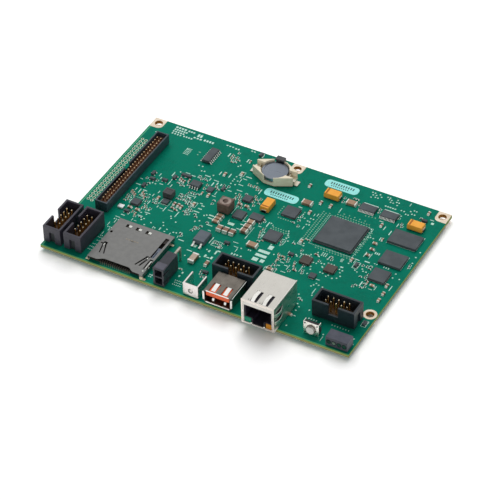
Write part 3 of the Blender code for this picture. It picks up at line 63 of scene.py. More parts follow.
# Bare board. A laminate of woven glass and resin, 1.6 mm thick, routed to a rectangle and
# drilled, with a green solder resist over copper tracks on both faces and its cut edges left raw.
MM = 0.001
UNDERSIDE = -1.6
BOARD_THICKNESS = -UNDERSIDE * MM
board_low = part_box("circuit_board")[0]
board_face = board_low.z + BOARD_THICKNESS
BOARD_LENGTH, BOARD_DEPTH = 152.4, 101.6
MOUNT_HOLES = ((3.2, 98.4), (76.2, 98.4), (149.2, 98.4), (149.2, 26.6))
MOUNT_HOLE, STRIP_HOLE = 4.0, 0.96
STRIP_ROWS = ((2.4, 36.7, 25), (4.4, 36.4, 25))  # x, first y, total
STRIP_PITCH = 2.0


def at(x, y, z=0.0):
    """A spot in millimetres right of the board's left edge, behind its front edge, above its face."""
    return Vector((board_low.x + x * MM, board_low.y + y * MM, board_face + z * MM))


def work_on(*pieces):
    """Selects these pieces alone, the first of them active."""
    if bpy.context.object and bpy.context.object.mode == "EDIT":
        bpy.ops.object.mode_set(mode="OBJECT")
    bpy.ops.object.select_all(action="DESELECT")
    for piece in pieces:
        piece.select_set(True)
    bpy.context.view_layer.objects.active = pieces[0]


def named(name):
    """The object just added, named, with its place taken into its mesh."""
    piece = bpy.context.object
    piece.name = piece.data.name = name
    bpy.ops.object.transform_apply(location=True, rotation=True, scale=True)
    return piece


def block(name, low, high):
    """A block between two corners, ready to be shaped."""
    bpy.ops.object.select_all(action="DESELECT")
    bpy.ops.mesh.primitive_cube_add(size=1, location=(low + high) / 2)
    bpy.context.object.scale = high - low
    return named(name)


def rod(name, foot, diameter, length, lie="Z", sides=24):
    """A rod that starts at a spot and runs along one axis."""
    bpy.ops.object.select_all(action="DESELECT")
    turn = {"Z": (0, 0, 0), "Y": (-math.pi / 2, 0, 0), "X": (0, math.pi / 2, 0)}[lie]
    way = Vector([float(axis == lie) for axis in "XYZ"])
    bpy.ops.mesh.primitive_cylinder_add(vertices=sides, radius=diameter * MM / 2, rotation=turn,
                                        depth=length * MM, location=foot + way * length * MM / 2)
    return named(name)


def gather(name, pieces):
    """Joins pieces into one."""
    pieces = list(pieces)
    work_on(*pieces)
    if len(pieces) > 1:
        bpy.ops.object.join()
    pieces[0].name = pieces[0].data.name = name
    return pieces[0]


def cut_away(piece, *tools):
    """Takes the shapes of the tools out of a piece."""
    tool = gather("tool", tools)
    cut = piece.modifiers.new("cut", "BOOLEAN")
    cut.object = tool
    cut.solver = "EXACT"
    work_on(piece)
    bpy.ops.object.modifier_apply(modifier=cut.name)
    bpy.data.objects.remove(tool, do_unlink=True)


def paint(red, green, blue):
    """A colour as the eye names it, from 0 to 255, as the shader wants it."""
    parts = [part / 255 for part in (red, green, blue)]
    return (*(part / 12.92 if part < 0.04045 else ((part + 0.055) / 1.055) ** 2.4
              for part in parts), 1.0)


def new_material(name, roughness, metallic=0.0, **sockets):
    """A material whose even values stand on the shader itself."""
    made = bpy.data.materials.new(name)
    made.use_nodes = True
    values = {"Roughness": roughness, "Metallic": metallic, **sockets}
    for socket, value in values.items():
        made.node_tree.nodes["Principled BSDF"].inputs[socket.replace("_", " ")].default_value = value
    return made


def node(made, kind, inputs=None, **settings):
    """Adds a node to a material; an input is a value or another node's output."""
    fresh = made.node_tree.nodes.new("ShaderNode" + kind)
    for key, value in settings.items():
        setattr(fresh, key, value)
    for key, value in (inputs or {}).items():
        if isinstance(value, bpy.types.NodeSocket):
            made.node_tree.links.new(value, fresh.inputs[key])
        else:
            fresh.inputs[key].default_value = value
    return fresh


def into_shader(made, socket, output):
    made.node_tree.links.new(output, made.node_tree.nodes["Principled BSDF"].inputs[socket])


def millimetres(made, stretch=(1, 1, 1), turn=0.0):
    """The piece's own coordinates in millimetres, turned about Z and stretched."""
    place = node(made, "TexCoord")
    fitted = node(made, "Mapping", {"Vector": place.outputs["Object"], "Rotation": (0, 0, turn),
                                    "Scale": [1000 * part for part in stretch]})
    return fitted.outputs["Vector"]


def speckle(made, vector, scale, detail=3.0, low=0.35, high=0.65):
    """Noise spread over the whole range from 0 to 1."""
    cloud = node(made, "TexNoise", {"Vector": vector, "Scale": scale, "Detail": detail})
    spread = node(made, "MapRange", {"Value": cloud.outputs["Fac"], "From Min": low, "From Max": high})
    return spread.outputs["Result"]


def blend(made, factor, first, second):
    """Mixes two colours by a factor."""
    mix = node(made, "Mix", {"Factor": factor, 6: first, 7: second}, data_type="RGBA")
    return mix.outputs[2]


def count(made, operation, first, second=0.0, third=0.0):
    """One sum on numbers."""
    return node(made, "Math", {0: first, 1: second, 2: third}, operation=operation).outputs[0]


def raise_grain(made, height, depth, strength=1.0):
    """Turns a height from 0 to 1 into relief of a depth in millimetres."""
    bump = node(made, "Bump", {"Height": height, "Distance": depth * MM, "Strength": strength})
    into_shader(made, "Normal", bump.outputs["Normal"])


def fit(piece, material, body="controller"):
    """Gives a piece its material and the body that it moves with."""
    piece.data.materials.clear()
    piece.data.materials.append(material)
    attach(piece, body)
    return piece


def board_material():
    made = new_material("green_solder_resist", 0.42, Specular_IOR_Level=0.07)
    plain = millimetres(made)
    districts = node(made, "TexVoronoi", {"Vector": plain, "Scale": 0.13, "Randomness": 0.9},
                     distance="CHEBYCHEV")
    lot = node(made, "SeparateColor", {"Color": districts.outputs["Color"]})
    runs = None
    for number, turn in enumerate((0.0, math.pi / 2, math.pi / 4, -math.pi / 4)):
        tracks = node(made, "TexBrick", {"Vector": millimetres(made, turn=turn), "Scale": 1.0,
                                         "Mortar Size": 0.07, "Mortar Smooth": 0.3, "Brick Width": 9.0,
                                         "Row Height": 0.42, "Color1": (1, 1, 1, 1),
                                         "Color2": (0.25, 0.25, 0.25, 1), "Mortar": (0, 0, 0, 1)})
        if runs is None:
            runs = tracks.outputs["Color"]
        else:
            chosen = count(made, "GREATER_THAN", lot.outputs["Red"], 0.28 * number)
            runs = blend(made, chosen, runs, tracks.outputs["Color"])
    copper = node(made, "SeparateColor", {"Color": runs}).outputs["Red"]
    pour = speckle(made, plain, 0.09, 2.0, 0.47, 0.53)
    copper = count(made, "MAXIMUM", count(made, "MULTIPLY", copper, 0.9), count(made, "MULTIPLY", pour, 0.7))
    resist = blend(made, copper, paint(0, 108, 88), paint(0, 124, 101))
    tint = speckle(made, plain, 0.6, 4.0)
    resist = blend(made, count(made, "MULTIPLY", tint, 0.35), resist, paint(2, 128, 104))
    place = node(made, "SeparateXYZ", {"Vector": plain})
    # Lighter bands run along the left edge and the front edge of the face; the front band is a painted highlight on
    # the board's front edge.
    from_left = count(made, "ABSOLUTE", count(made, "SUBTRACT", place.outputs["X"], board_low.x / MM + 0.75))
    edge_bands = count(made, "MAXIMUM", count(made, "LESS_THAN", from_left, 0.28),
                   count(made, "LESS_THAN", place.outputs["Y"], board_low.y / MM + 0.4))
    resist = blend(made, count(made, "MULTIPLY", edge_bands, 0.7), resist, paint(104, 190, 142))
    height = place.outputs["Z"]
    middle = (board_face - BOARD_THICKNESS / 2) / MM
    off_middle = count(made, "ABSOLUTE", count(made, "SUBTRACT", height, middle))
    on_face = count(made, "GREATER_THAN", off_middle, BOARD_THICKNESS / MM / 2 - 0.03)
    plies = speckle(made, millimetres(made, (0.6, 0.6, 9.0)), 1.0, 2.0)
    glass = speckle(made, millimetres(made, (3.0, 3.0, 3.0)), 1.0, 3.0)
    raw = blend(made, plies, paint(150, 140, 90), paint(178, 166, 120))
    raw = blend(made, count(made, "MULTIPLY", glass, 0.3), raw, paint(205, 190, 130))
    # The upper part of the cut edge is a lighter green: a painted highlight along the top of the edge.
    upper_edge_highlight = count(made, "GREATER_THAN", height, middle + 0.2)
    raw = blend(made, count(made, "MULTIPLY", upper_edge_highlight, 0.85), raw, paint(124, 174, 78))
    skin = count(made, "GREATER_THAN", off_middle, BOARD_THICKNESS / MM / 2 - 0.1)
    raw = blend(made, skin, raw, paint(96, 144, 74))
    into_shader(made, "Base Color", blend(made, on_face, raw, resist))
    gloss = count(made, "SUBTRACT", 0.62, count(made, "MULTIPLY", on_face, 0.24))
    into_shader(made, "Roughness", count(made, "MULTIPLY_ADD", tint, 0.08, gloss))
    raise_grain(made, count(made, "MULTIPLY_ADD", glass, 0.15, copper), 0.02)
    return made


laminate = block("board_laminate", at(0, 0, UNDERSIDE), at(BOARD_LENGTH, BOARD_DEPTH))
strip_spots = [(x, first + STRIP_PITCH * number) for x, first, total in STRIP_ROWS
               for number in range(total)]
cut_away(laminate, *[rod("hole", at(x, y, UNDERSIDE - 1), MOUNT_HOLE, 3.6) for x, y in MOUNT_HOLES],
         *[rod("hole", at(x, y, UNDERSIDE - 1), STRIP_HOLE, 3.6, sides=10) for x, y in strip_spots])
fit(laminate, board_material())
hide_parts("circuit_board")

# Bare copper. Lands and barrels at the mounting holes and the plated holes, via rings and small
# bare pads, all left free of the resist; the pads are tinned, the mounting barrels are gilt.
# Lands: front left and back right corner. Via rows: x, y, step in x, step in y, total. Bare pads:
# x, y, length, depth. Pad grids: x, y, step in x, step in y, columns, rows, size. Test pads: x, y.
MOUNT_LANDS = (((0.05, 94.9), (6.1, 101.55)), ((73.1, 95.1), (79.3, 101.55)),
               ((146.2, 94.9), (152.35, 101.55)))
VIA_ROWS = ((100.6, 57.5, 0.0, 1.25, 17), (102.0, 58.1, 0.0, 1.25, 16), (103.6, 57.5, 0.0, 1.25, 17),
            (106.5, 77.2, 1.3, 0.0, 14), (107.1, 78.6, 1.3, 0.0, 13), (106.9, 80.1, 2.6, 0.0, 6),
            (108.5, 54.3, 1.4, 0.0, 15), (109.2, 55.5, 1.4, 0.0, 14), (126.3, 58.0, 0.0, 1.6, 11),
            (84.6, 64.6, 1.2, 0.0, 6), (85.1, 56.5, 1.25, 0.0, 7), (85.7, 57.8, 1.25, 0.0, 6),
            (83.0, 49.0, 0.0, 1.3, 6), (94.0, 48.0, 0.0, 1.5, 6), (83.2, 66.5, 0.0, 1.4, 5),
            (93.4, 66.0, 0.0, 1.4, 6), (30.5, 88.5, 0.2, -2.0, 2), (35.0, 80.0, 2.0, 0.0, 2),
            (124.9, 58.6, 0.0, 1.35, 11), (31.0, 88.4, -0.2, -2.0, 2), (118.5, 83.4, 1.5, 0.2, 4))
BARE_PADS = ((68.3, 27.0, 0.9, 1.7), (71.4, 27.0, 0.9, 1.7), (71.4, 31.0, 0.8, 2.4), (68.3, 30.5, 0.8, 1.3),
             (69.8, 26.5, 1.6, 0.5), (72.2, 32.3, 1.6, 0.8), (62.4, 14.5, 1.0, 0.8), (65.0, 12.7, 0.8, 1.1),
             (64.8, 10.2, 0.8, 1.1), (147.2, 92.2, 1.3, 1.3), (67.9, 51.0, 3.0, 1.6), (49.4, 57.0, 1.4, 0.5),
             (50.9, 55.8, 1.6, 0.6), (50.6, 53.5, 2.0, 0.6), (50.2, 51.1, 2.8, 0.5), (57.6, 51.8, 2.6, 0.7),
             (57.9, 50.0, 2.4, 0.6), (59.8, 45.7, 3.0, 0.5), (61.0, 30.7, 1.6, 1.6), (63.6, 30.4, 1.3, 1.4))
PAD_GRIDS = ((24.4, 84.4, 0.72, 1.0, 4, 5, 0.5), (123.4, 93.6, 1.2, 1.0, 5, 1, 0.8),
             (113.2, 50.9, 1.0, 0.9, 3, 3, 0.55), (122.4, 51.2, 0.7, 0.8, 2, 3, 0.5))
TEST_PADS = ((35.1, 80.1), (37.0, 80.1), (38.1, 77.1), (39.5, 77.4), (44.5, 76.8), (41.6, 43.1), (42.4, 41.9),
             (45.5, 40.6), (52.8, 45.1), (40.7, 37.9), (41.8, 36.1), (44.5, 34.6), (48.0, 34.1), (49.4, 34.4),
             (50.8, 35.4), (35.9, 35.2), (33.9, 32.7), (39.2, 32.9), (44.2, 32.8), (31.8, 36.2), (31.0, 35.1),
             (28.4, 39.3), (31.2, 39.3), (30.8, 42.0), (54.5, 50.4), (55.4, 51.2), (54.4, 46.3), (51.4, 87.6),
             (52.1, 88.6), (30.0, 72.0), (59.6, 70.3), (64.9, 81.1), (79.9, 38.6), (66.4, 25.4), (60.2, 23.1),
             (67.0, 35.6), (66.9, 31.0), (94.5, 41.7), (99.9, 36.3), (112.4, 42.2), (113.2, 40.4), (113.2, 37.4),
             (119.8, 33.5), (119.2, 32.1), (118.5, 31.0), (121.2, 32.9), (123.2, 32.6), (121.6, 25.9), (116.3, 23.9),
             (120.0, 16.9), (119.9, 14.3), (120.7, 4.1), (118.6, 18.3), (125.0, 17.0), (137.2, 6.3), (150.0, 9.9),
             (151.0, 6.6), (93.0, 58.4), (93.6, 57.1), (94.0, 56.0), (94.8, 54.8), (94.4, 53.6), (95.8, 52.3),
             (90.4, 47.0), (83.7, 59.5), (83.8, 52.8), (102.7, 54.3), (103.3, 52.8), (104.8, 47.8), (106.0, 47.7),
             (107.1, 48.1), (110.0, 47.6), (109.0, 49.1), (111.1, 51.8), (112.6, 49.6), (116.8, 49.8), (115.7, 46.1),
             (117.0, 46.3), (117.0, 44.3), (112.3, 45.0), (113.7, 45.0), (104.0, 45.4), (103.2, 46.1), (92.4, 68.7),
             (95.2, 69.4), (97.7, 70.5), (99.0, 70.5), (97.2, 68.4), (98.3, 68.2), (97.8, 66.1), (99.0, 66.3),
             (126.2, 51.6), (133.2, 51.0), (134.1, 49.8), (135.5, 49.9), (131.9, 48.2), (124.5, 46.2), (126.0, 46.0),
             (125.6, 44.3), (126.8, 42.3), (126.0, 40.5), (127.0, 71.3), (128.4, 71.2), (125.7, 71.0), (125.0, 69.0),
             (125.0, 65.0), (125.0, 61.0), (125.0, 76.2), (125.6, 75.0), (125.0, 73.8), (150.8, 72.3), (150.5, 68.5),
             (150.8, 64.4), (150.4, 52.3), (147.5, 54.8), (147.4, 51.9), (114.1, 99.5), (115.4, 99.5), (117.9, 99.5),
             (121.7, 99.5), (122.9, 99.5), (126.6, 99.7), (115.0, 98.0), (116.5, 98.3), (119.1, 98.2), (122.9, 98.4),
             (124.1, 98.3), (126.7, 98.1), (127.9, 98.1), (116.6, 96.9), (117.9, 96.9), (124.2, 96.9), (125.5, 96.9),
             (114.8, 96.1), (127.8, 96.3), (136.3, 96.5), (137.5, 96.4), (135.0, 95.3), (136.3, 93.9), (137.6, 93.9),
             (131.0, 94.0), (132.4, 94.0), (133.8, 92.6), (135.0, 92.6), (132.6, 90.5), (54.3, 80.8), (56.3, 81.0),
             (54.2, 78.8), (56.2, 78.3), (54.2, 77.4), (54.2, 75.5), (56.4, 75.6), (30.4, 49.0), (19.2, 46.1),
             (26.7, 45.2), (22.5, 59.6), (24.0, 59.5), (40.8, 49.3), (117.8, 40.7), (119.2, 40.6), (121.9, 40.6),
             (121.2, 39.5), (124.2, 39.5), (118.4, 47.6), (119.8, 47.6), (121.2, 47.6), (117.4, 43.9), (130.6, 48.9))


def pick(piece, test):
    """Opens a piece in edit mode with the faces selected whose middle and normal pass a test."""
    if bpy.context.object is not piece or piece.mode != "EDIT":
        work_on(piece)
        bpy.ops.object.mode_set(mode="EDIT")
    bpy.ops.mesh.select_mode(type="FACE")
    shape = bmesh.from_edit_mesh(piece.data)
    for face in shape.faces:
        face.select_set(bool(test(face.calc_center_median(), face.normal)))
    shape.select_flush_mode()
    bmesh.update_edit_mesh(piece.data)


def pick_top(piece):
    """Opens a piece with the faces selected that look straight up."""
    pick(piece, lambda middle, normal: normal.z > 0.9)


def done():
    bpy.ops.object.mode_set(mode="OBJECT")


def smooth(piece, sharp=50):
    """Shades a piece smooth up to an angle, its large flat faces kept flat."""
    work_on(piece)
    bpy.ops.object.shade_smooth_by_angle(angle=math.radians(sharp))
    even = piece.modifiers.new("even", "WEIGHTED_NORMAL")
    even.mode = "FACE_AREA"
    even.weight = 100
    even.keep_sharp = True
    bpy.ops.object.modifier_apply(modifier=even.name)


def round_off(piece, width, segments=2, sharp=35):
    """Rounds a piece's sharp edges by a width in millimetres and shades it."""
    work_on(piece)
    edges = piece.modifiers.new("edges", "BEVEL")
    edges.width = width * MM
    edges.segments = segments
    edges.limit_method = "ANGLE"
    edges.angle_limit = math.radians(sharp)
    bpy.ops.object.modifier_apply(modifier=edges.name)
    smooth(piece)


def spread_between(made, socket, factor, low, high):
    """Lets a number on the shader run between two values."""
    run = node(made, "MapRange", {"Value": factor, "To Min": low, "To Max": high})
    into_shader(made, socket, run.outputs["Result"])


def move(piece, way):
    """Moves a piece's mesh by a vector."""
    piece.data.transform(Matrix.Translation(way))


def hollow(piece, rim):
    """Lets the top and the underside of a piece through to each other, inside a rim of a width."""
    pick(piece, lambda middle, normal: abs(normal.z) > 0.9)
    bpy.ops.mesh.inset(thickness=rim * MM, use_even_offset=True, use_individual=True)
    bpy.ops.mesh.bridge_edge_loops()
    done()


def tube(name, foot, outer, inner, length, sides=16):
    """A rod with its two ends let through to each other."""
    piece = rod(name, foot, outer, length, sides=sides)
    hollow(piece, (outer - inner) / 2)
    return piece


def lay(name, model, spots):
    """Copies a piece modelled over the origin to spots (x, y, height, turn), as one piece."""
    copies = []
    for x, y, z, turn in spots:
        copy = bpy.data.objects.new(name, model.data.copy())
        bpy.context.scene.collection.objects.link(copy)
        copy.data.transform(Matrix.Translation(at(x, y, z)) @ Matrix.Rotation(turn, 4, "Z"))
        copies.append(copy)
    bpy.data.objects.remove(model, do_unlink=True)
    return gather(name, copies)


def centred(name, length, depth, foot, top):
    """A block over the origin, its sizes in millimetres."""
    return block(name, Vector((-length / 2, -depth / 2, foot)) * MM, Vector((length / 2, depth / 2, top)) * MM)


def metal(name, light, dark, roughness, grain=1.5, stretch=(1, 1, 1), relief=0.003, metallic=1.0, **sockets):
    """Bare metal with a drawn grain: two shades, a roughness that wanders and fine scratches."""
    made = new_material(name, roughness, metallic, **sockets)
    drawn = millimetres(made, stretch)
    clouds = speckle(made, millimetres(made), grain / 4, 3.0)
    streaks = speckle(made, drawn, grain * 3, 5.0, 0.3, 0.7)
    worn = count(made, "MULTIPLY_ADD", streaks, 0.45, count(made, "MULTIPLY", clouds, 0.55))
    into_shader(made, "Base Color", blend(made, worn, paint(*dark), paint(*light)))
    spread_between(made, "Roughness", streaks, roughness - 0.07, roughness + 0.09)
    raise_grain(made, streaks, relief)
    return made


tin = metal("pale_tin", (206, 240, 224), (166, 212, 194), 0.42, relief=0.004, metallic=0.2)
lands = []
for (left, front), (right, back) in MOUNT_LANDS:
    for foot, top in ((-0.02, 0.035), (-1.635, -1.58)):
        land = block("land", at(left, front, foot), at(right, back, top))
        pick_top(land)
        bpy.ops.mesh.select_mode(type="EDGE")
        for edge in bmesh.from_edit_mesh(land.data).edges:
            inner_x = at(right if left < 1 else left, 0).x
            ends = [vertex.co for vertex in edge.verts]
            edge.select_set(abs(ends[0].z - ends[1].z) > 0.01 * MM and abs(ends[0].y - at(0, front).y) < 0.01 * MM
                            and (abs(ends[0].x - inner_x) < 0.01 * MM or 70 < left < 80))
        bpy.ops.mesh.bevel(offset=2.4 * MM, segments=8)
        done()
        lands.append(land)
for foot in (-0.02, -1.635):
    lands.append(rod("land", at(149.2, 26.6, foot), 6.2, 0.055, sides=32))
mount_lands = gather("mounting_hole_lands", lands)
cut_away(mount_lands, *[rod("hole", at(x, y, -2.6), 3.9, 3.6) for x, y in MOUNT_HOLES])
fit(mount_lands, metal("mounting_land_tin", (246, 232, 214), (220, 202, 178), 0.5, 0.8, relief=0.006,
                       metallic=0.5))
barrels = [tube("barrel", at(x, y, -1.62), MOUNT_HOLE, 3.5, 1.65, 24) for x, y in MOUNT_HOLES]
fit(gather("mounting_hole_barrels", barrels),
    metal("barrel_gold", (186, 134, 66), (134, 90, 38), 0.45, 2.0, metallic=0.7))

ring = tube("ring", Vector((0, 0, -0.02 * MM)), 1.6, 0.9, 0.06, 14)
fit(lay("plated_hole_rings", ring, [(x, y, z, 0) for x, y in strip_spots for z in (0, -1.62)]),
    metal("strip_tin", (212, 232, 206), (168, 200, 170), 0.45, relief=0.006, metallic=0.35))
ring = tube("ring", Vector((0, 0, -1.62 * MM)), STRIP_HOLE, 0.82, 1.64, 10)
fit(lay("plated_hole_barrels", ring, [(x, y, 0, 0) for x, y in strip_spots]),
    metal("plated_hole_copper", (112, 90, 66), (62, 48, 34), 0.5, 3.0))

via_spots = [(x + step_x * number, y + step_y * number, 0, 0) for x, y, step_x, step_y, total in VIA_ROWS
             for number in range(total)]
ring = tube("ring", Vector((0, 0, -0.01 * MM)), 0.62, 0.3, 0.04, 8)
fit(lay("via_rings", ring, via_spots),
    metal("via_metal", (180, 226, 200), (128, 188, 158), 0.45, metallic=0.3))
# Dark discs in the middles of the via rings: painted shade in the vias' bores.
fit(lay("via_bores", rod("bore", Vector((0, 0, -0.01 * MM)), 0.31, 0.02, sides=8), via_spots),
    metal("via_bore_shade", (30, 60, 50), (14, 34, 28), 0.6, metallic=0.2))

pads = [(centred("pad", length, depth, -0.02, 0.05), x, y) for x, y, length, depth in BARE_PADS]
for x, y, step_x, step_y, across, back, size in PAD_GRIDS:
    for number in range(across * back):
        pads.append((centred("pad", size, size, -0.02, 0.05), x + step_x * (number % across),
                     y + step_y * (number // across)))
for pad, x, y in pads:
    move(pad, at(x, y))
test_pad = rod("pad", Vector((0, 0, -0.02 * MM)), 0.78, 0.07, sides=10)
test_pads = lay("test_pads", test_pad, [(x, y, 0, 0) for x, y in TEST_PADS])
bare_pads = gather("bare_pads", [pad for pad, x, y in pads] + [test_pads])
round_off(bare_pads, 0.06, 1, 60)
fit(bare_pads, tin)

# Printed marks. White epoxy ink screened over the resist: plain bars and outlines by the parts,
# each a few hundredths of a millimetre thick, and a group of blocks where a larger mark is due.
# Bars: x, y, length, depth. Rows: x, y, pitch, length, depth, total. Frames: x, y, length, depth, line.
PRINT_FOOT, PRINT_TOP = -0.01, 0.04
THIN_BAR, THIN_SHARE = 1.2, 0.8
PRINT_BARS = ((16.6, 59.8, 1.3, 0.5), (17.2, 55.8, 2.4, 0.6), (18.1, 52.5, 0.5, 1.8), (20.2, 52.0, 0.5, 3.0),
              (22.3, 53.3, 2.2, 0.6), (24.0, 51.6, 1.0, 0.5), (25.6, 51.8, 1.2, 0.5), (27.2, 52.2, 0.45, 1.8),
              (28.4, 55.2, 0.5, 1.8), (28.0, 46.9, 0.5, 2.6), (32.9, 46.2, 0.5, 1.4), (36.6, 46.0, 0.45, 3.2),
              (35.0, 45.8, 1.8, 0.4), (39.5, 46.3, 2.6, 0.4), (43.3, 45.4, 0.5, 4.0), (26.5, 60.5, 1.8, 0.5),
              (29.3, 62.8, 0.5, 2.6), (31.1, 61.5, 0.5, 2.0), (42.2, 58.3, 2.4, 0.5), (42.6, 59.7, 3.4, 0.4),
              (44.7, 59.4, 0.4, 1.8), (20.0, 44.2, 0.5, 2.4), (19.8, 66.9, 1.4, 0.5), (22.8, 66.0, 0.45, 2.0),
              (24.3, 64.2, 0.45, 1.6), (27.9, 69.2, 0.55, 3.0), (29.2, 66.4, 0.45, 3.4), (33.5, 72.8, 2.4, 0.5),
              (36.7, 72.3, 2.0, 0.6), (42.4, 75.2, 2.8, 0.6), (44.6, 73.6, 0.55, 1.8), (31.7, 70.8, 0.4, 2.2),
              (46.6, 79.6, 0.6, 2.4), (51.3, 80.0, 0.6, 2.8), (58.6, 80.9, 2.0, 0.5), (58.8, 76.5, 2.4, 0.5),
              (57.3, 79.0, 0.4, 2.4), (68.9, 76.4, 0.5, 3.4), (60.2, 72.8, 2.8, 0.5), (56.3, 70.6, 2.0, 0.6),
              (47.6, 74.0, 2.6, 0.5), (47.2, 71.2, 0.7, 2.6), (49.0, 72.4, 0.7, 1.8), (50.9, 72.4, 0.7, 1.4),
              (51.6, 66.2, 0.4, 2.4), (51.8, 64.1, 1.8, 0.5), (59.6, 82.9, 3.0, 0.6), (64.7, 60.2, 0.25, 6.4),
              (71.5, 57.2, 0.3, 4.8), (72.2, 55.3, 1.8, 0.4), (72.9, 52.8, 2.4, 0.6), (72.6, 49.4, 2.2, 0.5),
              (78.2, 50.4, 0.25, 6.6), (78.2, 46.2, 0.5, 2.4), (80.1, 55.3, 1.6, 0.5), (82.7, 58.2, 0.6, 3.4),
              (84.9, 58.6, 0.4, 1.2), (84.1, 50.5, 0.6, 2.0), (66.0, 52.4, 0.3, 1.4), (98.0, 73.4, 0.4, 1.8),
              (99.4, 74.0, 0.4, 2.0), (97.6, 63.4, 0.4, 2.2), (93.4, 71.2, 0.4, 1.6), (106.8, 81.9, 0.45, 2.6),
              (90.0, 75.2, 1.8, 0.6), (91.3, 70.5, 0.25, 7.4), (100.2, 55.0, 0.35, 4.4), (101.6, 52.9, 2.4, 0.35),
              (98.2, 53.0, 0.3, 1.6), (99.6, 46.0, 0.4, 1.8), (105.4, 46.4, 0.35, 2.6), (117.0, 51.0, 0.5, 1.6),
              (93.6, 52.4, 1.6, 0.35), (94.9, 50.8, 0.3, 3.2), (91.9, 52.0, 0.25, 8.0), (129.9, 60.2, 0.35, 3.8),
              (132.6, 60.2, 0.35, 3.8), (133.0, 56.1, 2.4, 0.8), (128.6, 55.4, 2.0, 0.6), (128.0, 53.3, 0.4, 1.4),
              (136.9, 42.2, 0.7, 3.2), (143.7, 42.4, 0.4, 2.8), (142.0, 40.8, 2.0, 0.35), (149.6, 45.4, 0.45, 3.4),
              (124.7, 47.9, 1.4, 0.9), (129.7, 79.7, 0.5, 2.6), (126.5, 83.2, 2.0, 0.5), (133.3, 78.0, 0.6, 3.0),
              (134.0, 84.2, 0.45, 2.4), (131.2, 72.4, 0.5, 2.2), (141.4, 71.7, 13.8, 0.3), (148.6, 77.4, 0.3, 9.0),
              (148.2, 62.4, 0.25, 9.6), (133.0, 99.4, 0.4, 2.0), (146.1, 94.2, 1.8, 0.5), (117.4, 91.4, 7.0, 0.5),
              (127.6, 91.4, 7.0, 0.5), (43.8, 93.0, 0.7, 2.6), (53.4, 93.2, 0.6, 2.4), (58.2, 99.0, 0.5, 2.2),
              (60.4, 26.8, 2.6, 0.6), (61.6, 42.6, 1.6, 0.5), (65.6, 37.2, 0.5, 4.4), (75.9, 40.9, 2.6, 0.45),
              (77.4, 38.4, 2.2, 0.4), (78.5, 36.6, 0.4, 2.4), (100.2, 38.7, 2.0, 0.5), (103.0, 37.6, 2.4, 0.5),
              (103.4, 33.4, 2.4, 0.5), (119.2, 35.9, 1.8, 0.5), (121.1, 28.6, 0.45, 3.6), (104.0, 37.0, 0.4, 3.4),
              (109.4, 38.2, 0.35, 3.2), (22.0, 34.1, 2.0, 0.6), (20.6, 31.9, 2.4, 0.5), (31.1, 40.3, 2.8, 0.5),
              (29.2, 37.1, 2.6, 0.6), (27.3, 33.2, 0.4, 1.6), (29.0, 33.2, 1.4, 0.3), (23.9, 36.3, 0.5, 2.2),
              (38.3, 32.9, 0.4, 1.6), (41.5, 33.4, 0.6, 1.8), (47.1, 32.4, 0.5, 1.6), (51.2, 32.4, 0.4, 1.4),
              (53.7, 31.1, 2.8, 0.6), (149.8, 8.0, 0.5, 3.2), (137.7, 3.6, 0.3, 3.0), (121.0, 11.0, 1.2, 0.5),
              (6.2, 92.2, 2.6, 0.5), (10.2, 28.4, 1.6, 0.6), (89.9, 41.2, 5.4, 1.7), (89.9, 38.3, 5.4, 1.7),
              (88.6, 35.2, 2.7, 2.2), (92.0, 35.4, 1.9, 2.0), (91.3, 45.0, 2.2, 2.6), (21.2, 28.6, 0.4, 2.0),
              (19.4, 26.0, 0.4, 2.4), (21.6, 22.6, 0.4, 1.6), (20.4, 19.4, 0.4, 2.0), (24.9, 88.0, 1.4, 0.4))
PRINT_ROWS = ((12.4, 99.7, 1.5, 1.1, 1.1, 4), (18.9, 99.6, 1.3, 0.9, 1.0, 3), (12.4, 98.0, 1.2, 0.8, 1.0, 6),
              (12.3, 96.5, 1.3, 0.8, 0.9, 5), (12.5, 95.0, 1.4, 0.7, 0.9, 4), (18.6, 95.2, 1.3, 0.8, 0.9, 4),
              (24.4, 98.8, 1.4, 1.0, 2.0, 2), (23.4, 96.6, 1.6, 1.1, 0.9, 3), (28.6, 97.0, 1.4, 0.9, 1.3, 4),
              (39.6, 98.7, 1.5, 0.9, 0.7, 3), (44.4, 98.3, 1.3, 0.8, 0.9, 2), (51.8, 100.2, 1.4, 0.9, 0.7, 2),
              (64.6, 7.2, 0.9, 0.4, 0.5, 5), (65.0, 5.8, 0.8, 0.4, 0.4, 5), (64.8, 4.4, 0.9, 0.4, 0.5, 5),
              (127.2, 12.4, 1.2, 0.6, 0.7, 4), (137.9, 13.2, 1.3, 0.4, 0.6, 7),
              (77.9, 33.6, 1.3, 0.7, 1.2, 2), (80.5, 33.8, 1.8, 0.8, 0.8, 2), (83.2, 39.2, 1.0, 0.5, 0.8, 2),
              (53.0, 5.2, 1.0, 0.7, 0.7, 2), (53.0, 4.0, 1.0, 0.6, 0.6, 2), (136.4, 56.6, 1.1, 0.6, 0.5, 2),
              (141.0, 56.4, 1.1, 0.5, 1.0, 3), (20.1, 7.4, 0.9, 0.5, 0.45, 3), (20.0, 9.3, 0.8, 0.4, 0.6, 3),
              (20.3, 11.4, 0.9, 0.5, 0.45, 3), (20.0, 16.2, 0.9, 0.45, 0.5, 3), (20.4, 17.6, 0.8, 0.4, 0.6, 2),
              (20.2, 24.2, 0.9, 0.5, 0.5, 3), (20.0, 30.2, 1.0, 0.5, 0.6, 4),
              (133.6, 63.0, 0.9, 0.5, 1.4, 3), (20.8, 14.0, 1.0, 0.5, 0.5, 2), (7.0, 26.4, 1.1, 0.6, 0.6, 4))
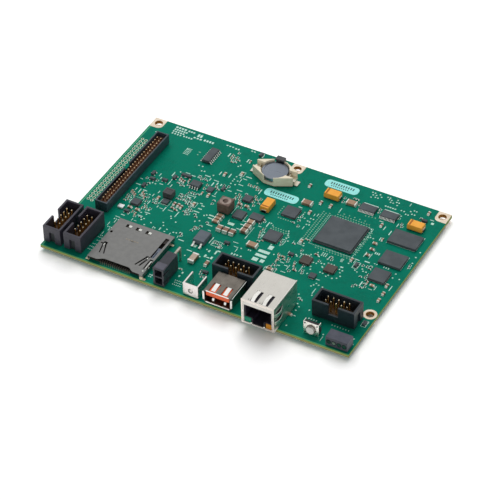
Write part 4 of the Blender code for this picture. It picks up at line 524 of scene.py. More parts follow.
PRINT_FRAMES = ((115.1, 66.2, 21.4, 21.4, 0.14), (149.8, 20.2, 2.4, 4.0, 0.22), (46.8, 54.8, 2.6, 3.6, 0.2),
                (55.8, 83.6, 2.4, 3.2, 0.2), (34.6, 50.4, 4.6, 4.0, 0.16), (129.8, 51.9, 2.6, 4.4, 0.25),
                (68.9, 36.2, 4.4, 3.6, 0.2), (22.7, 45.2, 5.2, 5.2, 0.14), (97.6, 31.9, 5.4, 2.6, 0.2),
                (39.4, 73.1, 1.4, 2.0, 0.2))


def group(name, pieces, width, material, segments=1, sharp=60):
    """Joins pieces into one, rounds its edges by a width and fits it."""
    piece = gather(name, pieces)
    round_off(piece, width, segments, sharp)
    return fit(piece, material)


def print_frame(x, y, length, depth, line):
    """A printed outline: a thin block with all but its rim let out."""
    piece = centred("outline", length, depth, PRINT_FOOT, PRINT_TOP)
    hollow(piece, line)
    move(piece, at(x, y))
    return piece


def ink(name, colour, shade):
    """Screened ink: even, a little thin in places and slightly grainy."""
    made = new_material(name, 0.55)
    thin = speckle(made, millimetres(made), 2.5, 4.0)
    into_shader(made, "Base Color", blend(made, thin, paint(*shade), paint(*colour)))
    spread_between(made, "Roughness", thin, 0.5, 0.66)
    raise_grain(made, thin, 0.01)
    return made


bars = []
for x, y, length, depth in PRINT_BARS:
    sides = (side if side > THIN_BAR else side * THIN_SHARE for side in (length, depth))
    bar = centred("bar", *sides, PRINT_FOOT, PRINT_TOP)
    move(bar, at(x, y))
    bars.append(bar)
for x, y, pitch, length, depth, total in PRINT_ROWS:
    for number in range(total):
        bar = centred("bar", length, depth, PRINT_FOOT, PRINT_TOP)
        move(bar, at(x + pitch * number, y))
        bars.append(bar)
bars += [print_frame(*outline) for outline in PRINT_FRAMES]
group("printed_marks", bars, 0.05, ink("white_ink", (226, 252, 243), (174, 224, 208)))

# Labels. Two stickers of glossy cyan paper with rounded corners, pressed on the board, with plain
# grey bars where such labels carry their print.
LABELS = ((91.8, 93.7, 108.5, 98.8), (70.4, 75.6, 87.1, 80.9))
RULING_ROWS = ((2.6, 1.22, 0.62, 2.4, 3.9, 10), (3.4, 1.0, 0.55, 1.1, 1.8, 9))
stickers, rulings = [], []
for left, front, right, back in LABELS:
    sticker = block("sticker", at(left, front, 0), at(right, back, 0.12))
    pick(sticker, lambda middle, normal: False)
    bpy.ops.mesh.select_mode(type="EDGE")
    for edge in bmesh.from_edit_mesh(sticker.data).edges:
        ends = [vertex.co for vertex in edge.verts]
        edge.select_set(abs(ends[0].z - ends[1].z) > 0.05 * MM)
    bpy.ops.mesh.bevel(offset=2.0 * MM, segments=6)
    done()
    round_off(sticker, 0.03, 1, 80)
    stickers.append(sticker)
    for start, pitch, length, foot, top, total in RULING_ROWS:
        for number in range(total):
            along = left + start + number * pitch
            rulings.append(block("ruling", at(along, front + foot, 0.1), at(along + length, front + top, 0.155)))
made = new_material("cyan_label_paper", 0.3, Coat_Weight=0.25)
fibre = speckle(made, millimetres(made), 3.0, 5.0)
into_shader(made, "Base Color", blend(made, fibre, paint(140, 230, 224), paint(168, 250, 246)))
spread_between(made, "Roughness", fibre, 0.26, 0.4)
raise_grain(made, fibre, 0.006)
fit(gather("cyan_labels", stickers), made)
group("label_rulings", rulings, 0.02, ink("label_print_grey", (70, 110, 106), (40, 74, 72)))

# Ribbon headers. Four shrouded two-row headers moulded in black glass-filled nylon, with a key
# notch in the front wall; five pairs of square gilt pins are pressed through the floor.
RIBBON_HEADERS = (("outer_left", "ribbon_header_outer_left", -90), ("inner_left", "ribbon_header_inner_left", -90),
                  ("centre", "ribbon_header_centre", 0), ("right", "ribbon_header_right", 0))
RIBBON_PITCH, RIBBON_PIN, RIBBON_PIN_TOP = 2.54, 0.56, 8.6
RIBBON_LENGTH, RIBBON_WIDTH, RIBBON_TOP, RIBBON_WALL, RIBBON_FLOOR = 20.3, 8.9, 9.0, 1.05, 2.6
TAIL_END = -3.1
solder_spots = []


def middle_of(node_name):
    """The middle of a node's box, in millimetres from the board's front left corner."""
    low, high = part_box(node_name)
    return ((low.x + high.x) / 2 - board_low.x) / MM, ((low.y + high.y) / 2 - board_low.y) / MM


def plastic(name, colour, shade, roughness=0.5, grain=3.0, relief=0.012, **sockets):
    """Moulded plastic: a faint flow pattern in the colour and a fine eroded grain on the face."""
    made = new_material(name, roughness, **sockets)
    flow = speckle(made, millimetres(made, (1, 1, 2.5)), 0.35, 3.0)
    pits = speckle(made, millimetres(made), grain, 4.0, 0.3, 0.7)
    mixed = count(made, "MULTIPLY_ADD", pits, 0.4, count(made, "MULTIPLY", flow, 0.6))
    into_shader(made, "Base Color", blend(made, mixed, paint(*shade), paint(*colour)))
    spread_between(made, "Roughness", pits, roughness - 0.06, roughness + 0.1)
    raise_grain(made, pits, relief)
    return made


def push(x=0.0, y=0.0, z=0.0):
    """Extrudes the selected faces by millimetres along the axes."""
    bpy.ops.mesh.extrude_region_move(TRANSFORM_OT_translate={"value": (x * MM, y * MM, z * MM)})


def inset_by(width):
    """Insets the selected faces by a width in millimetres."""
    bpy.ops.mesh.inset(thickness=width * MM)


def draw_in(across, back, towards=(0, 0, 0)):
    """Scales the selected faces towards a spot by two shares."""
    bpy.ops.transform.resize(value=(across, back, 1), center_override=towards)


def square_pin(width, foot, top, taper):
    """A square pin over the origin, coined to a point at its top and its tail."""
    pin = centred("pin", width, width, foot + taper, top - taper)
    for end, way in (("top", 1), ("tail", -1)):
        pick(pin, lambda middle, normal: normal.z * way > 0.9)
        push(z=taper * way)
        draw_in(0.45, 0.45)
    done()
    return pin


def pin_metal(name, light, dark, tip, painted_glint):
    """Gilding above the board's face with a painted highlight in a pale colour from a height on, and tin on the tail
    below it.
    """
    made = new_material(name, 0.32, 0.9)
    plain = millimetres(made)
    wipe = speckle(made, plain, 1.6, 4.0)
    height = node(made, "SeparateXYZ", {"Vector": plain}).outputs["Z"]
    gilt = count(made, "GREATER_THAN", height, board_face / MM + 0.2)
    gold = blend(made, wipe, paint(*dark), paint(*light))
    gold = blend(made, count(made, "GREATER_THAN", height, board_face / MM + tip), gold, paint(*painted_glint))
    tinned = blend(made, wipe, paint(150, 148, 142), paint(206, 204, 198))
    into_shader(made, "Base Color", blend(made, gilt, tinned, gold))
    spread_between(made, "Roughness", wipe, 0.24, 0.42)
    raise_grain(made, wipe, 0.004)
    return made


def shrouded_header(length, width, foot, top, wall, floor, notch_width, notch_depth):
    """A box over the origin with a well sunk in it and a notch through its front wall."""
    body = centred("shroud", length, width, foot, top)
    pick_top(body)
    inset_by(wall)
    push(z=floor - top)
    done()
    cut_away(body, block("notch", Vector((-notch_width / 2, -width / 2 - 1, top - notch_depth)) * MM,
                         Vector((notch_width / 2, -width / 2 + wall + 0.4, top + 1)) * MM))
    return body


def well_bed(length, width, floor):
    """The face of the floor in a header's well, a brown sheet that paints the reflection of the gilt pins."""
    bed = centred("bed", length, width, floor - 0.05, floor + 0.04)
    pick_top(bed)
    inset_by(0.1)
    bpy.ops.transform.translate(value=(0, 0, 0.02 * MM))
    done()
    return bed


ribbon = shrouded_header(RIBBON_LENGTH, RIBBON_WIDTH, 0.3, RIBBON_TOP, RIBBON_WALL, RIBBON_FLOOR, 4.6, 5.2)
grooves, pockets = [], []
for side in (-1, 1):
    groove = centred("groove", 2.0, 2.7, 0, 6.0)
    move(groove, Vector((side * RIBBON_LENGTH / 2 * MM, 0, 0)))
    rib = centred("rib", 0.9, 0.7, -1.0, 0.9)
    move(rib, Vector((side * 7.2 * MM, RIBBON_WIDTH / 2 * MM, 0)))
    grooves += [groove, rib]
    # A thin dark plate at the back of each end pocket: painted shade on the pocket's back wall.
    pocket = centred("pocket", 0.08, 2.6, 0.34, 5.9)
    move(pocket, Vector((side * (RIBBON_LENGTH / 2 - 0.96) * MM, 0, 0)))
    pockets.append(pocket)
cut_away(ribbon, *grooves)
round_off(ribbon, 0.16)
pockets = gather("pockets", pockets)
round_off(pockets, 0.02, 1, 60)
bed = well_bed(RIBBON_LENGTH - 2.2, RIBBON_WIDTH - 2.2, RIBBON_FLOOR)
ribbon_plastic = plastic("ribbon_header_nylon", (56, 54, 66), (38, 36, 46), 0.42)
# The centre and right headers get the same nylon in a darker, cooler colour: painted shade.
painted_shade_plastic = plastic("ribbon_header_nylon_painted_shade", (34, 44, 52), (22, 30, 36), 0.4)
pin_places = [((column - 2) * RIBBON_PITCH, row * RIBBON_PITCH / 2) for column in range(5) for row in (-1, 1)]
pin_spots, middles = [], []
for name, node_name, degrees in RIBBON_HEADERS:
    x, y = middle_of(node_name)
    turn = math.radians(degrees)
    copy = bpy.data.objects.new("ribbon_header", ribbon.data.copy())
    bpy.context.scene.collection.objects.link(copy)
    housing = lay("ribbon_housing_" + name, copy, [(x, y, 0, turn)])
    fit(housing, ribbon_plastic if degrees else painted_shade_plastic)
    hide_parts(node_name)
    middles.append((x, y, 0, turn))
    for across, back in pin_places:
        spot = Matrix.Rotation(turn, 3, "Z") @ Vector((across, back, 0))
        pin_spots.append((x + spot.x, y + spot.y, 0, 0))
bpy.data.objects.remove(ribbon, do_unlink=True)
# The dark pocket plates are painted shade.
fit(lay("ribbon_pocket_floors", pockets, middles),
    plastic("pocket_shade_nylon", (26, 32, 34), (14, 18, 20)))
# A brown sheet on each well's floor: painted reflection of the gilt pins.
fit(lay("ribbon_well_beds", bed, middles),
    plastic("well_bed_brown", (82, 60, 36), (50, 36, 22), 0.55))
# The pins' tips are a pale gold from a height on: painted highlight.
fit(lay("ribbon_header_pins", square_pin(RIBBON_PIN, TAIL_END, RIBBON_PIN_TOP, 0.35), pin_spots),
    pin_metal("ribbon_pin_gilding", (232, 184, 100), (168, 122, 58), 8.35, (255, 244, 212)))
solder_spots += [(x, y, 0.95) for x, y, z, turn in pin_spots]

# Long pin header. A low shroud moulded in slate blue nylon, with two rows of twenty-five finer
# gilt pins two millimetres apart and its key notch towards the board's left edge.
LONG_PITCH, LONG_COLUMNS = 2.0, 25
x, y = middle_of("long_pin_header")
long_header = shrouded_header(55.6, 6.2, 0.3, 5.3, 0.7, 2.9, 4.2, 2.4)
slots = []
for side in (-1, 1):
    slot = centred("slot", 0.8, 2.2, 0, 4.0)
    move(slot, Vector((side * 27.8 * MM, 0, 0)))
    slots.append(slot)
cut_away(long_header, *slots)
round_off(long_header, 0.12)
long_header = lay("long_header_housing", long_header, [(x, y, 0, -math.pi / 2)])
fit(long_header, plastic("long_header_nylon", (54, 68, 78), (36, 48, 56), 0.42))
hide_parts("long_pin_header")
pin_spots = [(x + row * LONG_PITCH / 2, y + (column - (LONG_COLUMNS - 1) / 2) * LONG_PITCH, 0, 0)
             for column in range(LONG_COLUMNS) for row in (-1, 1)]
# A brown sheet on the well's floor: painted reflection of the gilt pins.
fit(lay("long_header_well_reflection_bed", well_bed(54.0, 4.6, 2.9), [(x, y, 0, -math.pi / 2)]),
    plastic("long_bed_painted_reflection", (112, 78, 54), (70, 48, 34), 0.55))
# The pins' tips are a pale gold from a height on: painted highlight.
fit(lay("long_header_pins", square_pin(0.52, TAIL_END, 5.1, 0.26), pin_spots),
    pin_metal("long_pin_gilding", (176, 124, 82), (124, 80, 50), 4.88, (238, 210, 168)))
solder_spots += [(x, y, 0.8) for x, y, z, turn in pin_spots]

# Card socket. A cover stamped from thin stainless sheet, with sprung fingers slit from it, snaps
# over a black moulded frame; its contacts lie in the frame and come out as tails at the back.
COVER_TOP = 2.9
TAB_PLACES = (30.4, 35.4, 40.4)
TAB_WINDOWS = tuple((x - 1.35, 24.8, x + 1.35, 26.8) for x in TAB_PLACES)
# Windows and highlight edges: left, front, right, back. Dimples: x, y, width, depth. Slits: start, end, width. The
# highlight edges are bright strips painted as highlights on the cover's cut edges.
COVER_WINDOWS = ((24.6, 18.6, 25.7, 19.9), (26.1, 11.3, 27.8, 12.2), (24.8, 10.6, 26.0, 11.2),
                 (47.8, 11.3, 49.1, 12.2), (49.9, 10.3, 51.6, 11.0), (49.0, 12.2, 50.9, 26.2))
COVER_DIMPLES = ((36.8, 17.6, 2.6, 0.12), (50.8, 2.6, 1.1, 0.1), (25.2, 27.6, 0.9, 0.1), (50.6, 27.8, 0.9, 0.1))
COVER_SLITS = (((26.2, 10.9), (27.7, 4.8), 0.42), ((27.3, 11.6), (29.8, 4.9), 0.5),
               ((48.0, 11.7), (45.7, 5.1), 0.5), ((48.9, 10.4), (47.7, 5.3), 0.42),
               ((50.2, 10.8), (50.4, 4.8), 0.45), ((51.6, 10.4), (51.8, 4.6), 0.5))
HIGHLIGHT_EDGES = ((50.85, 4.9, 51.15, 9.9), (48.35, 10.5, 48.75, 11.5), (26.6, 9.6, 26.95, 11.2),
                (50.75, 9.7, 51.7, 10.05), (50.45, 2.5, 51.25, 3.3), (52.0, 5.6, 52.2, 6.4))


def refined(name, node_name, width, segments=2, sharp=35):
    """A piece from a copy of a node's solid, its doubles merged and its edges rounded."""
    piece = bpy.data.objects.new(name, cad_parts[node_name].data.copy())
    bpy.context.scene.collection.objects.link(piece)
    pick(piece, lambda middle, normal: True)
    bpy.ops.mesh.remove_doubles(threshold=0.0005 * MM)
    bpy.ops.mesh.dissolve_limited(angle_limit=math.radians(1))
    done()
    round_off(piece, width, segments, sharp)
    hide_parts(node_name)
    return piece


def dress(node_name, material):
    """Gives a node of the CAD model a finer material."""
    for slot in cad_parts[node_name].material_slots:
        slot.material = material


cover = refined("card_cover", "card_socket_cover", 0.05, 1)
cutters = []
for x, y, wide, deep in COVER_DIMPLES:
    ball = (wide ** 2 / 4 + deep ** 2) / 2 / deep
    bpy.ops.object.select_all(action="DESELECT")
    bpy.ops.mesh.primitive_uv_sphere_add(segments=48, ring_count=48, radius=ball * MM,
                                         location=at(x, y, COVER_TOP + ball - deep))
    cutters.append(named("dimple"))
cutters += [block("window", at(left, front, 2.4), at(right, back, 3.4))
            for left, front, right, back in TAB_WINDOWS + COVER_WINDOWS]
for start, end, width in COVER_SLITS:
    along = Vector((end[0] - start[0], end[1] - start[1], 0))
    slit = block("slit", Vector((0, -width / 2, 2.4)) * MM, Vector((along.length, width / 2, 3.4)) * MM)
    slit.data.transform(Matrix.Translation(at(*start)) @ Matrix.Rotation(math.atan2(along.y, along.x), 4, "Z"))
    cutters.append(slit)
for cutter in cutters:
    cut_away(cover, cutter)
smooth(cover)
stainless = metal("stamped_stainless", (134, 134, 132), (122, 122, 121), 0.36, 2.4, (0.3, 1.6, 1), 0.0015)
fit(cover, stainless)
strokes = [block("stroke", at(33.4 + 1.35 * number, 17.6, COVER_TOP - 0.02),
                 at(34.4 + 1.35 * number, 18.3, COVER_TOP + 0.015)) for number in range(5)]
group("card_cover_stamp", strokes, 0.01, ink("stamp_brown_ink", (146, 136, 122), (132, 126, 116)))
socket_frame = plastic("card_frame_plastic", (44, 38, 34), (24, 22, 20), 0.55)
dress("card_socket_base", socket_frame)
# The slider's blue-grey is painted lighter, as light on it in the slot.
dress("card_slider", plastic("slider_plastic", (122, 132, 146), (92, 100, 114), 0.45))
tabs = []
for x in TAB_PLACES:
    tab = block("tab", at(x - 0.15, 26.3, 2.68), at(x + 1.3, 26.85, 2.82))
    for step_y, step_z in ((-0.35, -0.02), (-0.3, -0.1), (-0.2, -0.3)):
        pick(tab, lambda middle, normal: normal.y < -0.5)
        push(y=step_y, z=step_z)
    done()
    tabs.append(tab)
for number in range(9):
    across = 27.2 + 2.2 * number
    tabs.append(block("tail", at(across - 0.42, 28.2, 0.29), at(across + 0.42, 30.12, 0.57)))
strips = []
for number in range(15):
    strip = block("strip", at(29.6 + 1.05 * number, 2.2, 0.88), at(29.78 + 1.05 * number, 3.4, 1.0))
    pick(strip, lambda middle, normal: normal.y < -0.9)
    push(x=0.3, y=-0.7)
    push(x=0.1, y=-0.1, z=-0.5)
    push(x=0.2, y=-0.5, z=-0.25)
    done()
    strips.append(strip)
group("card_front_strips", strips, 0.02,
      metal("strip_dull_tin", (150, 152, 134), (106, 108, 92), 0.42, 2.0, metallic=0.5))
# The tabs are bent from the cover's sheet but painted bright silver, and the edge strips are painted highlights; the
# tails are the contacts' own tin.
tabs += [block("edge", at(left, front, 2.5), at(right, back, 3.0)) for left, front, right, back in HIGHLIGHT_EDGES]
group("card_contacts", tabs, 0.04,
      metal("contact_silver_and_highlight", (236, 238, 232), (206, 208, 200), 0.3, 2.0, metallic=0.5))
anchors = [block("anchor", at(x, y, 0.28), at(x + 1.7, y + 1.1, 0.5)) for x, y in
           ((51.5, 0.3), (51.3, 25.4), (22.7, 0.9), (22.7, 25.4))]
anchors.append(block("folded_foot", at(50.5, 0.3, 0.04), at(52.1, 0.85, 1.5)))
group("card_socket_anchors", anchors, 0.05,
      metal("anchor_tin", (240, 226, 198), (204, 186, 154), 0.42, 1.5, metallic=0.4))

# Power header. A black-blue nylon housing with two square sockets one above the other and a
# latch ramp on its top; two tinned pins run through it and bend down behind it into the board.
POWER_LEVELS, POWER_FRONT = (2.75, 6.95), 0.7
x, y = middle_of("power_header")[0], POWER_FRONT
housing = block("power_housing", at(x - 2.7, y, 0.3), at(x + 2.7, y + 4.6, 9.4))
pick(housing, lambda middle, normal: normal.y > 0.9)
inset_by(0.3)
push(y=8.2)
done()
sockets = [block("socket", at(x - 1.8, y - 0.5, z - 1.8), at(x + 1.8, y + 10.0, z + 1.8)) for z in POWER_LEVELS]
channels = [block("channel", at(wall - 0.35, y - 0.5, z - 0.5), at(wall + 0.35, y + 9.0, z + 0.5))
            for wall in (x - 2.7, x + 2.7) for z in POWER_LEVELS]
cut_away(housing, *sockets, *channels)
round_off(housing, 0.16)
fit(housing, plastic("power_header_nylon", (46, 48, 56), (30, 32, 40), 0.4))
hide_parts("power_header")
# The ramp on the housing's top is the housing's nylon in a lighter colour: a painted highlight.
collar = block("power_header_collar", at(x - 2.55, y + 0.2, 9.3), at(x + 2.35, y + 4.4, 9.62))
pick_top(collar)
draw_in(0.9, 0.9, at(x, y + 4.4, 9.6))
done()
round_off(collar, 0.1)
fit(collar, plastic("power_collar_painted_highlight", (86, 86, 98), (66, 66, 78), 0.36))
pins = []
for z, back in zip(POWER_LEVELS, (14.1, 18.7)):
    pin = block("pin", at(x - 0.5, y + 2.5, z - 0.5), at(x + 0.5, y + back - 0.5, z + 0.5))
    pick(pin, lambda middle, normal: normal.y > 0.9)
    push(y=1.0)
    pick(pin, lambda middle, normal: normal.z < -0.9 and middle.y > at(0, y + back - 0.4).y)
    push(z=TAIL_END - z + 0.5)
    done()
    round_off(pin, 0.12)
    pins.append(pin)
    solder_spots.append((x, y + back, 1.25))
fit(gather("power_header_pins", pins),
    metal("power_pin_tin", (204, 200, 190), (158, 152, 142), 0.34, 1.5))

# Faceplate bracket. A U folded from nickel-plated brass strip, with a boss tapped in its front
# for the faceplate's screw, held by two legs soldered in the board.
BRACKET_FRONT, THREAD_HEIGHT = 0.7, 3.4


def backwards(piece, spot):
    """Lays an upright ring made over the origin on its side, its foot at a spot, running backwards."""
    piece.data.transform(Matrix.Translation(spot) @ Matrix.Rotation(-math.pi / 2, 4, "X"))


x, y = middle_of("faceplate_bracket")[0], BRACKET_FRONT
bracket = block("bracket", at(x - 3.8, y, 0.3), at(x + 3.8, y + 8.4, 6.9))
pick(bracket, lambda middle, normal: normal.y > 0.9 or abs(normal.z) > 0.9)
bpy.ops.mesh.delete(type="FACE")
done()
wall = bracket.modifiers.new("wall", "SOLIDIFY")
wall.thickness = 0.8 * MM
wall.offset = -1.0
wall.use_even_offset = True
work_on(bracket)
bpy.ops.object.modifier_apply(modifier="wall")
pick(bracket, lambda middle, normal: True)
bpy.ops.mesh.normals_make_consistent(inside=False)
done()
round_off(bracket, 0.28, 3)
cut_away(bracket, rod("tapping", at(x, y - 0.5, THREAD_HEIGHT), 2.5, 2.0, "Y", 32),
         rod("counterbore", at(x, y - 0.5, THREAD_HEIGHT), 3.1, 0.62, "Y", 32))
threads = []
for number in range(3):
    bpy.ops.object.select_all(action="DESELECT")
    bpy.ops.mesh.primitive_torus_add(major_segments=32, minor_segments=4, major_radius=1.25 * MM,
                                     minor_radius=0.09 * MM, rotation=(math.pi / 2, 0, 0),
                                     location=at(x, y + 0.25 + 0.22 * number, THREAD_HEIGHT))
    threads.append(named("thread"))
legs = [block("leg", at(side - 0.4, y + 6.4, TAIL_END), at(side + 0.4, y + 7.6, 0.5)) for side in (x - 3.4, x + 3.4)]
boss = tube("boss", Vector((0, 0, 0)), 3.5, 2.4, 1.5, 32)
backwards(boss, at(x, y + 0.7, THREAD_HEIGHT))
# A dark ring in the counterbore: painted shade in the tapped hole.
thread_shade_ring = tube("thread_shade_ring", Vector((0, 0, 0)), 3.14, 2.1, 0.3, 32)
backwards(thread_shade_ring, at(x, y + 0.1, THREAD_HEIGHT))
round_off(thread_shade_ring, 0.05, 1, 50)
fit(thread_shade_ring, metal("thread_painted_shade", (112, 120, 110), (82, 90, 82), 0.45, 2.0, metallic=0.5))
solder_spots += [(x + side * 3.4, y + 7.0, 1.3) for side in (-1, 1)]
bracket = gather("bracket", [bracket, *threads, *legs, boss])
fit(bracket, metal("bracket_nickel", (236, 230, 226), (226, 220, 216), 0.3, 0.6, (0.3, 0.3, 1.5), 0.0008))
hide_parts("faceplate_bracket")

# USB socket. A shell folded from tinned sheet, its mouth lipped, with sprung tongues in its top
# and its floor, round an orange moulded block whose tongue carries four gilt contacts.
USB_FRONT, USB_CONTACTS = 0.4, (-3.5, -1.0, 1.0, 3.5)
FRONTWARDS = Vector((0, -1, 0))
x, y = middle_of("usb_shell")
shell = refined("usb_can", "usb_shell", 0.06, 1)
cut_away(shell, *[block("window", at(middle - 1.7, USB_FRONT + 0.9, 6.8), at(middle + 1.55, USB_FRONT + 6.3, 8.0))
                  for middle in (x - 2.9, x + 2.9)])
smooth(shell)
fit(shell, metal("usb_can_tin", (134, 128, 120), (104, 99, 92), 0.33, 1.0, (1.4, 0.15, 1), 0.002))


def sprung(name, low, high, steps, way=FRONTWARDS):
    """A sheet-metal spring: a short block drawn out one way in steps (along, up) from its free end."""
    spring = block(name, low, high)
    for along, up in steps:
        pick(spring, lambda middle, normal: normal.dot(way) > 0.6)
        step = way * along
        push(step.x, step.y, step.z + up)
    done()
    return spring


springs = []
for middle in (x - 2.9, x + 2.9):
    for name, half, start, end, foot, top, steps in (
            ("tongue", 0.95, 5.9, 6.5, 7.02, 7.28,
             ((0.9, -0.04), (0.9, -0.1), (0.9, -0.14), (0.8, -0.14), (0.5, -0.02), (0.4, 0.06))),
            ("lower_spring", 0.5, 5.4, 6.0, 1.1, 1.32,
             ((1.2, 0.3), (1.2, 0.8), (0.6, 0.2), (0.4, -0.1), (0.4, -0.5), (0.3, -0.5)))):
        springs.append(sprung(name, at(middle - half, USB_FRONT + start, foot),
                              at(middle + half, USB_FRONT + end, top), steps))
for low, high, way, steps in (
        (at(x - 5.6, USB_FRONT, 7.05), at(x + 5.6, USB_FRONT + 0.4, 7.32), (0, -1, 0), ((0.02, 0.0),)),
        (at(x - 6.75, USB_FRONT - 0.02, 2.0), at(x - 6.3, USB_FRONT + 0.5, 6.3), (-1, 0, 0), ((0.45, 0.0),)),
        (at(x + 6.3, USB_FRONT - 0.02, 2.0), at(x + 6.75, USB_FRONT + 0.5, 6.3), (1, 0, 0), ((0.45, 0.0),)),
        (at(x - 5.8, USB_FRONT - 0.02, 0.92), at(x + 5.8, USB_FRONT + 0.5, 1.28), (0, 0, -1), ((0.0, -0.35),))):
    springs.append(sprung("lip", low, high, steps, Vector(way)))
# A bright strip along the shell's right top edge: a painted highlight.
low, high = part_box("usb_shell")
springs.append(block("fold", Vector((high.x - 0.22 * MM, low.y + 0.3 * MM, high.z - 0.2 * MM)),
                     Vector((high.x + 0.02 * MM, high.y - 0.3 * MM, high.z + 0.02 * MM))))
# A warm pink sheet on the shell's floor: painted reflection of the orange block.
floor_sheet = block("usb_floor_sheet", at(x - 5.7, USB_FRONT + 0.6, 1.1), at(x + 5.7, USB_FRONT + 5.3, 1.18))
round_off(floor_sheet, 0.03, 1, 60)
fit(floor_sheet, metal("usb_floor_painted_reflection", (216, 158, 134), (180, 124, 102), 0.5, 1.0, metallic=0.3))
# The tongues, springs and lips are the shell's own tin, painted near white: painted highlight.
group("usb_springs", springs, 0.05,
      metal("spring_silver_painted_highlight", (246, 246, 242), (228, 228, 224), 0.28, 0.8, (1, 0.3, 1), 0.001), sharp=50)
fit(refined("usb_block", "usb_insert", 0.08, 1),
    plastic("usb_orange", (255, 118, 66), (240, 96, 48), 0.42))
contacts = [block("contact", at(x + across - 0.5, USB_FRONT + 1.0, 4.44),
                  at(x + across + 0.5, USB_FRONT + 9.4, 4.62)) for across in USB_CONTACTS]
group("usb_contacts", contacts, 0.05, metal("contact_gold", (222, 184, 112), (176, 136, 70), 0.28, 2.0))
solder_spots += [(x + across, 12.22, 0.8) for across in USB_CONTACTS]
solder_spots += [(x + side * 6.4, USB_FRONT + 9.6, 1.5) for side in (-1, 1)]

# Network jack. A drawn nickel-silver can round a black moulded insert with eight sprung gilt
# wires; two light pipes sit under the port and sprung fingers on the can earth it to the faceplate.
x, y = middle_of("network_jack_shell")
JACK_FRONT, RIM_THICKNESS = -2.9, 0.22
can = refined("jack_can", "network_jack_shell", 0.06, 1)
finger_x = [x - 3.1, x + 2.4]
cut_away(can, *[block("window", at(middle - 1.0, JACK_FRONT + 0.9, 12.4), at(middle + 2.1, JACK_FRONT + 7.9, 14.5))
                for middle in finger_x],
         *[block("notch", at(middle - 2.05, JACK_FRONT + 1.1, 12.8), at(middle - 1.65, JACK_FRONT + 1.7, 14.5))
           for middle in finger_x],
         *[block("slit", at(middle - 0.9, JACK_FRONT + 8.8, 13.3), at(middle + 0.5, JACK_FRONT + 9.15, 14.5))
           for middle in finger_x],
         *[block("window", at(wall - 0.6, JACK_FRONT + 0.7, z), at(wall + 0.6, JACK_FRONT + 8.0, z + 3.1))
           for wall in (x - 7.9, x + 7.9) for z in (3.2, 7.3)],
         block("front", at(x - 9, JACK_FRONT - 1, 0.1), at(x + 9, JACK_FRONT + 0.2, 15)),
         block("edge", at(x + 7.65, JACK_FRONT - 1, 13.5), at(x + 9, JACK_FRONT + 30, 15)))
smooth(can)
fit(can, metal("jack_nickel", (212, 209, 202), (202, 199, 192), 0.32, 0.5, (1, 0.2, 1), 0.0006))
insert = refined("jack_block", "network_jack_insert", 0.05, 1)
shelves = [block("shelf", at(min(x + side * 3.0, x + side * 7.2), JACK_FRONT + 0.9, 3.45),
                 at(max(x + side * 3.0, x + side * 7.2), JACK_FRONT + 9.6, 3.85)) for side in (-1, 1)]
insert = gather("jack_block", [insert, *shelves])
fit(insert, plastic("jack_black_plastic", (31, 28, 40), (17, 15, 24), 0.5))
for node_name, colour, shade, slot in (("network_jack_link_light", (34, 164, 130), (14, 120, 90), "light_green"),
                                       ("network_jack_activity_light", (226, 156, 50), (186, 112, 22), "light_amber")):
    fit(refined(node_name.replace("network_", "") + "_pipe", node_name, 0.75, 4),
        plastic(node_name + "_lens", colour, shade, 0.26, 0.8, 0.004, Specular_IOR_Level=0.2))
rim = centred("rim", 15.8, 13.4, 0.0, RIM_THICKNESS)
hollow(rim, 0.8)
round_off(rim, 0.06, 2, 50)
rim.data.transform(Matrix.Translation(at(x, JACK_FRONT + RIM_THICKNESS, 7.0)) @ Matrix.Rotation(math.pi / 2, 4, "X"))
# The rim is the can's nickel in a lighter colour, and the brow a bright line along the can's top front edge: both
# painted highlight.
rim = gather("jack_rim", [rim, block("painted_highlight_brow", at(x - 7.2, JACK_FRONT, 12.5), at(x + 7.2, JACK_FRONT + 0.2, 12.95))])
fit(rim, metal("rim_nickel_painted_highlight", (230, 222, 213), (216, 208, 199), 0.28, 1.0, relief=0.001))
fingers = []
for side in (-1, 1):
    for z in (4.7, 8.8):
        wall = x + side * 7.75
        finger = block("finger", at(wall - 0.12, JACK_FRONT + 7.6, z - 0.95),
                       at(wall + 0.12, JACK_FRONT + 8.3, z + 0.75))
        for along, out in ((1.2, 0.4), (1.1, 0.32), (1.1, 0.12), (1.1, -0.2), (1.1, -0.42), (1.1, -0.5)):
            pick(finger, lambda middle, normal: normal.y < -0.6)
            push(x=side * out, y=-along)
        done()
        fingers.append(finger)
for middle in finger_x:
    fingers.append(sprung("finger", at(middle - 0.85, JACK_FRONT + 7.7, 13.06),
                          at(middle + 0.85, JACK_FRONT + 8.3, 13.3),
                          ((1.1, 0.2), (1.1, 0.14), (1.1, 0.05), (1.1, -0.12), (1.1, -0.3), (1.2, -0.5))))
fingers += [block("tab", at(x + left, JACK_FRONT, foot), at(x + right, JACK_FRONT + 0.3, top))
            for left, right, foot, top in ((-3.4, 3.4, 0.35, 0.75), (-3.4, -2.7, 0.5, 1.7), (2.7, 3.4, 0.5, 1.7),
                                           (-7.3, -6.7, 6.2, 7.6), (6.7, 7.3, 6.2, 7.6))]
# A bright strip along the can's right top edge: a painted highlight.
low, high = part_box("network_jack_shell")
fingers.append(block("fold", Vector((high.x - 0.25 * MM, low.y + 0.2 * MM, high.z - 0.2 * MM)), high))
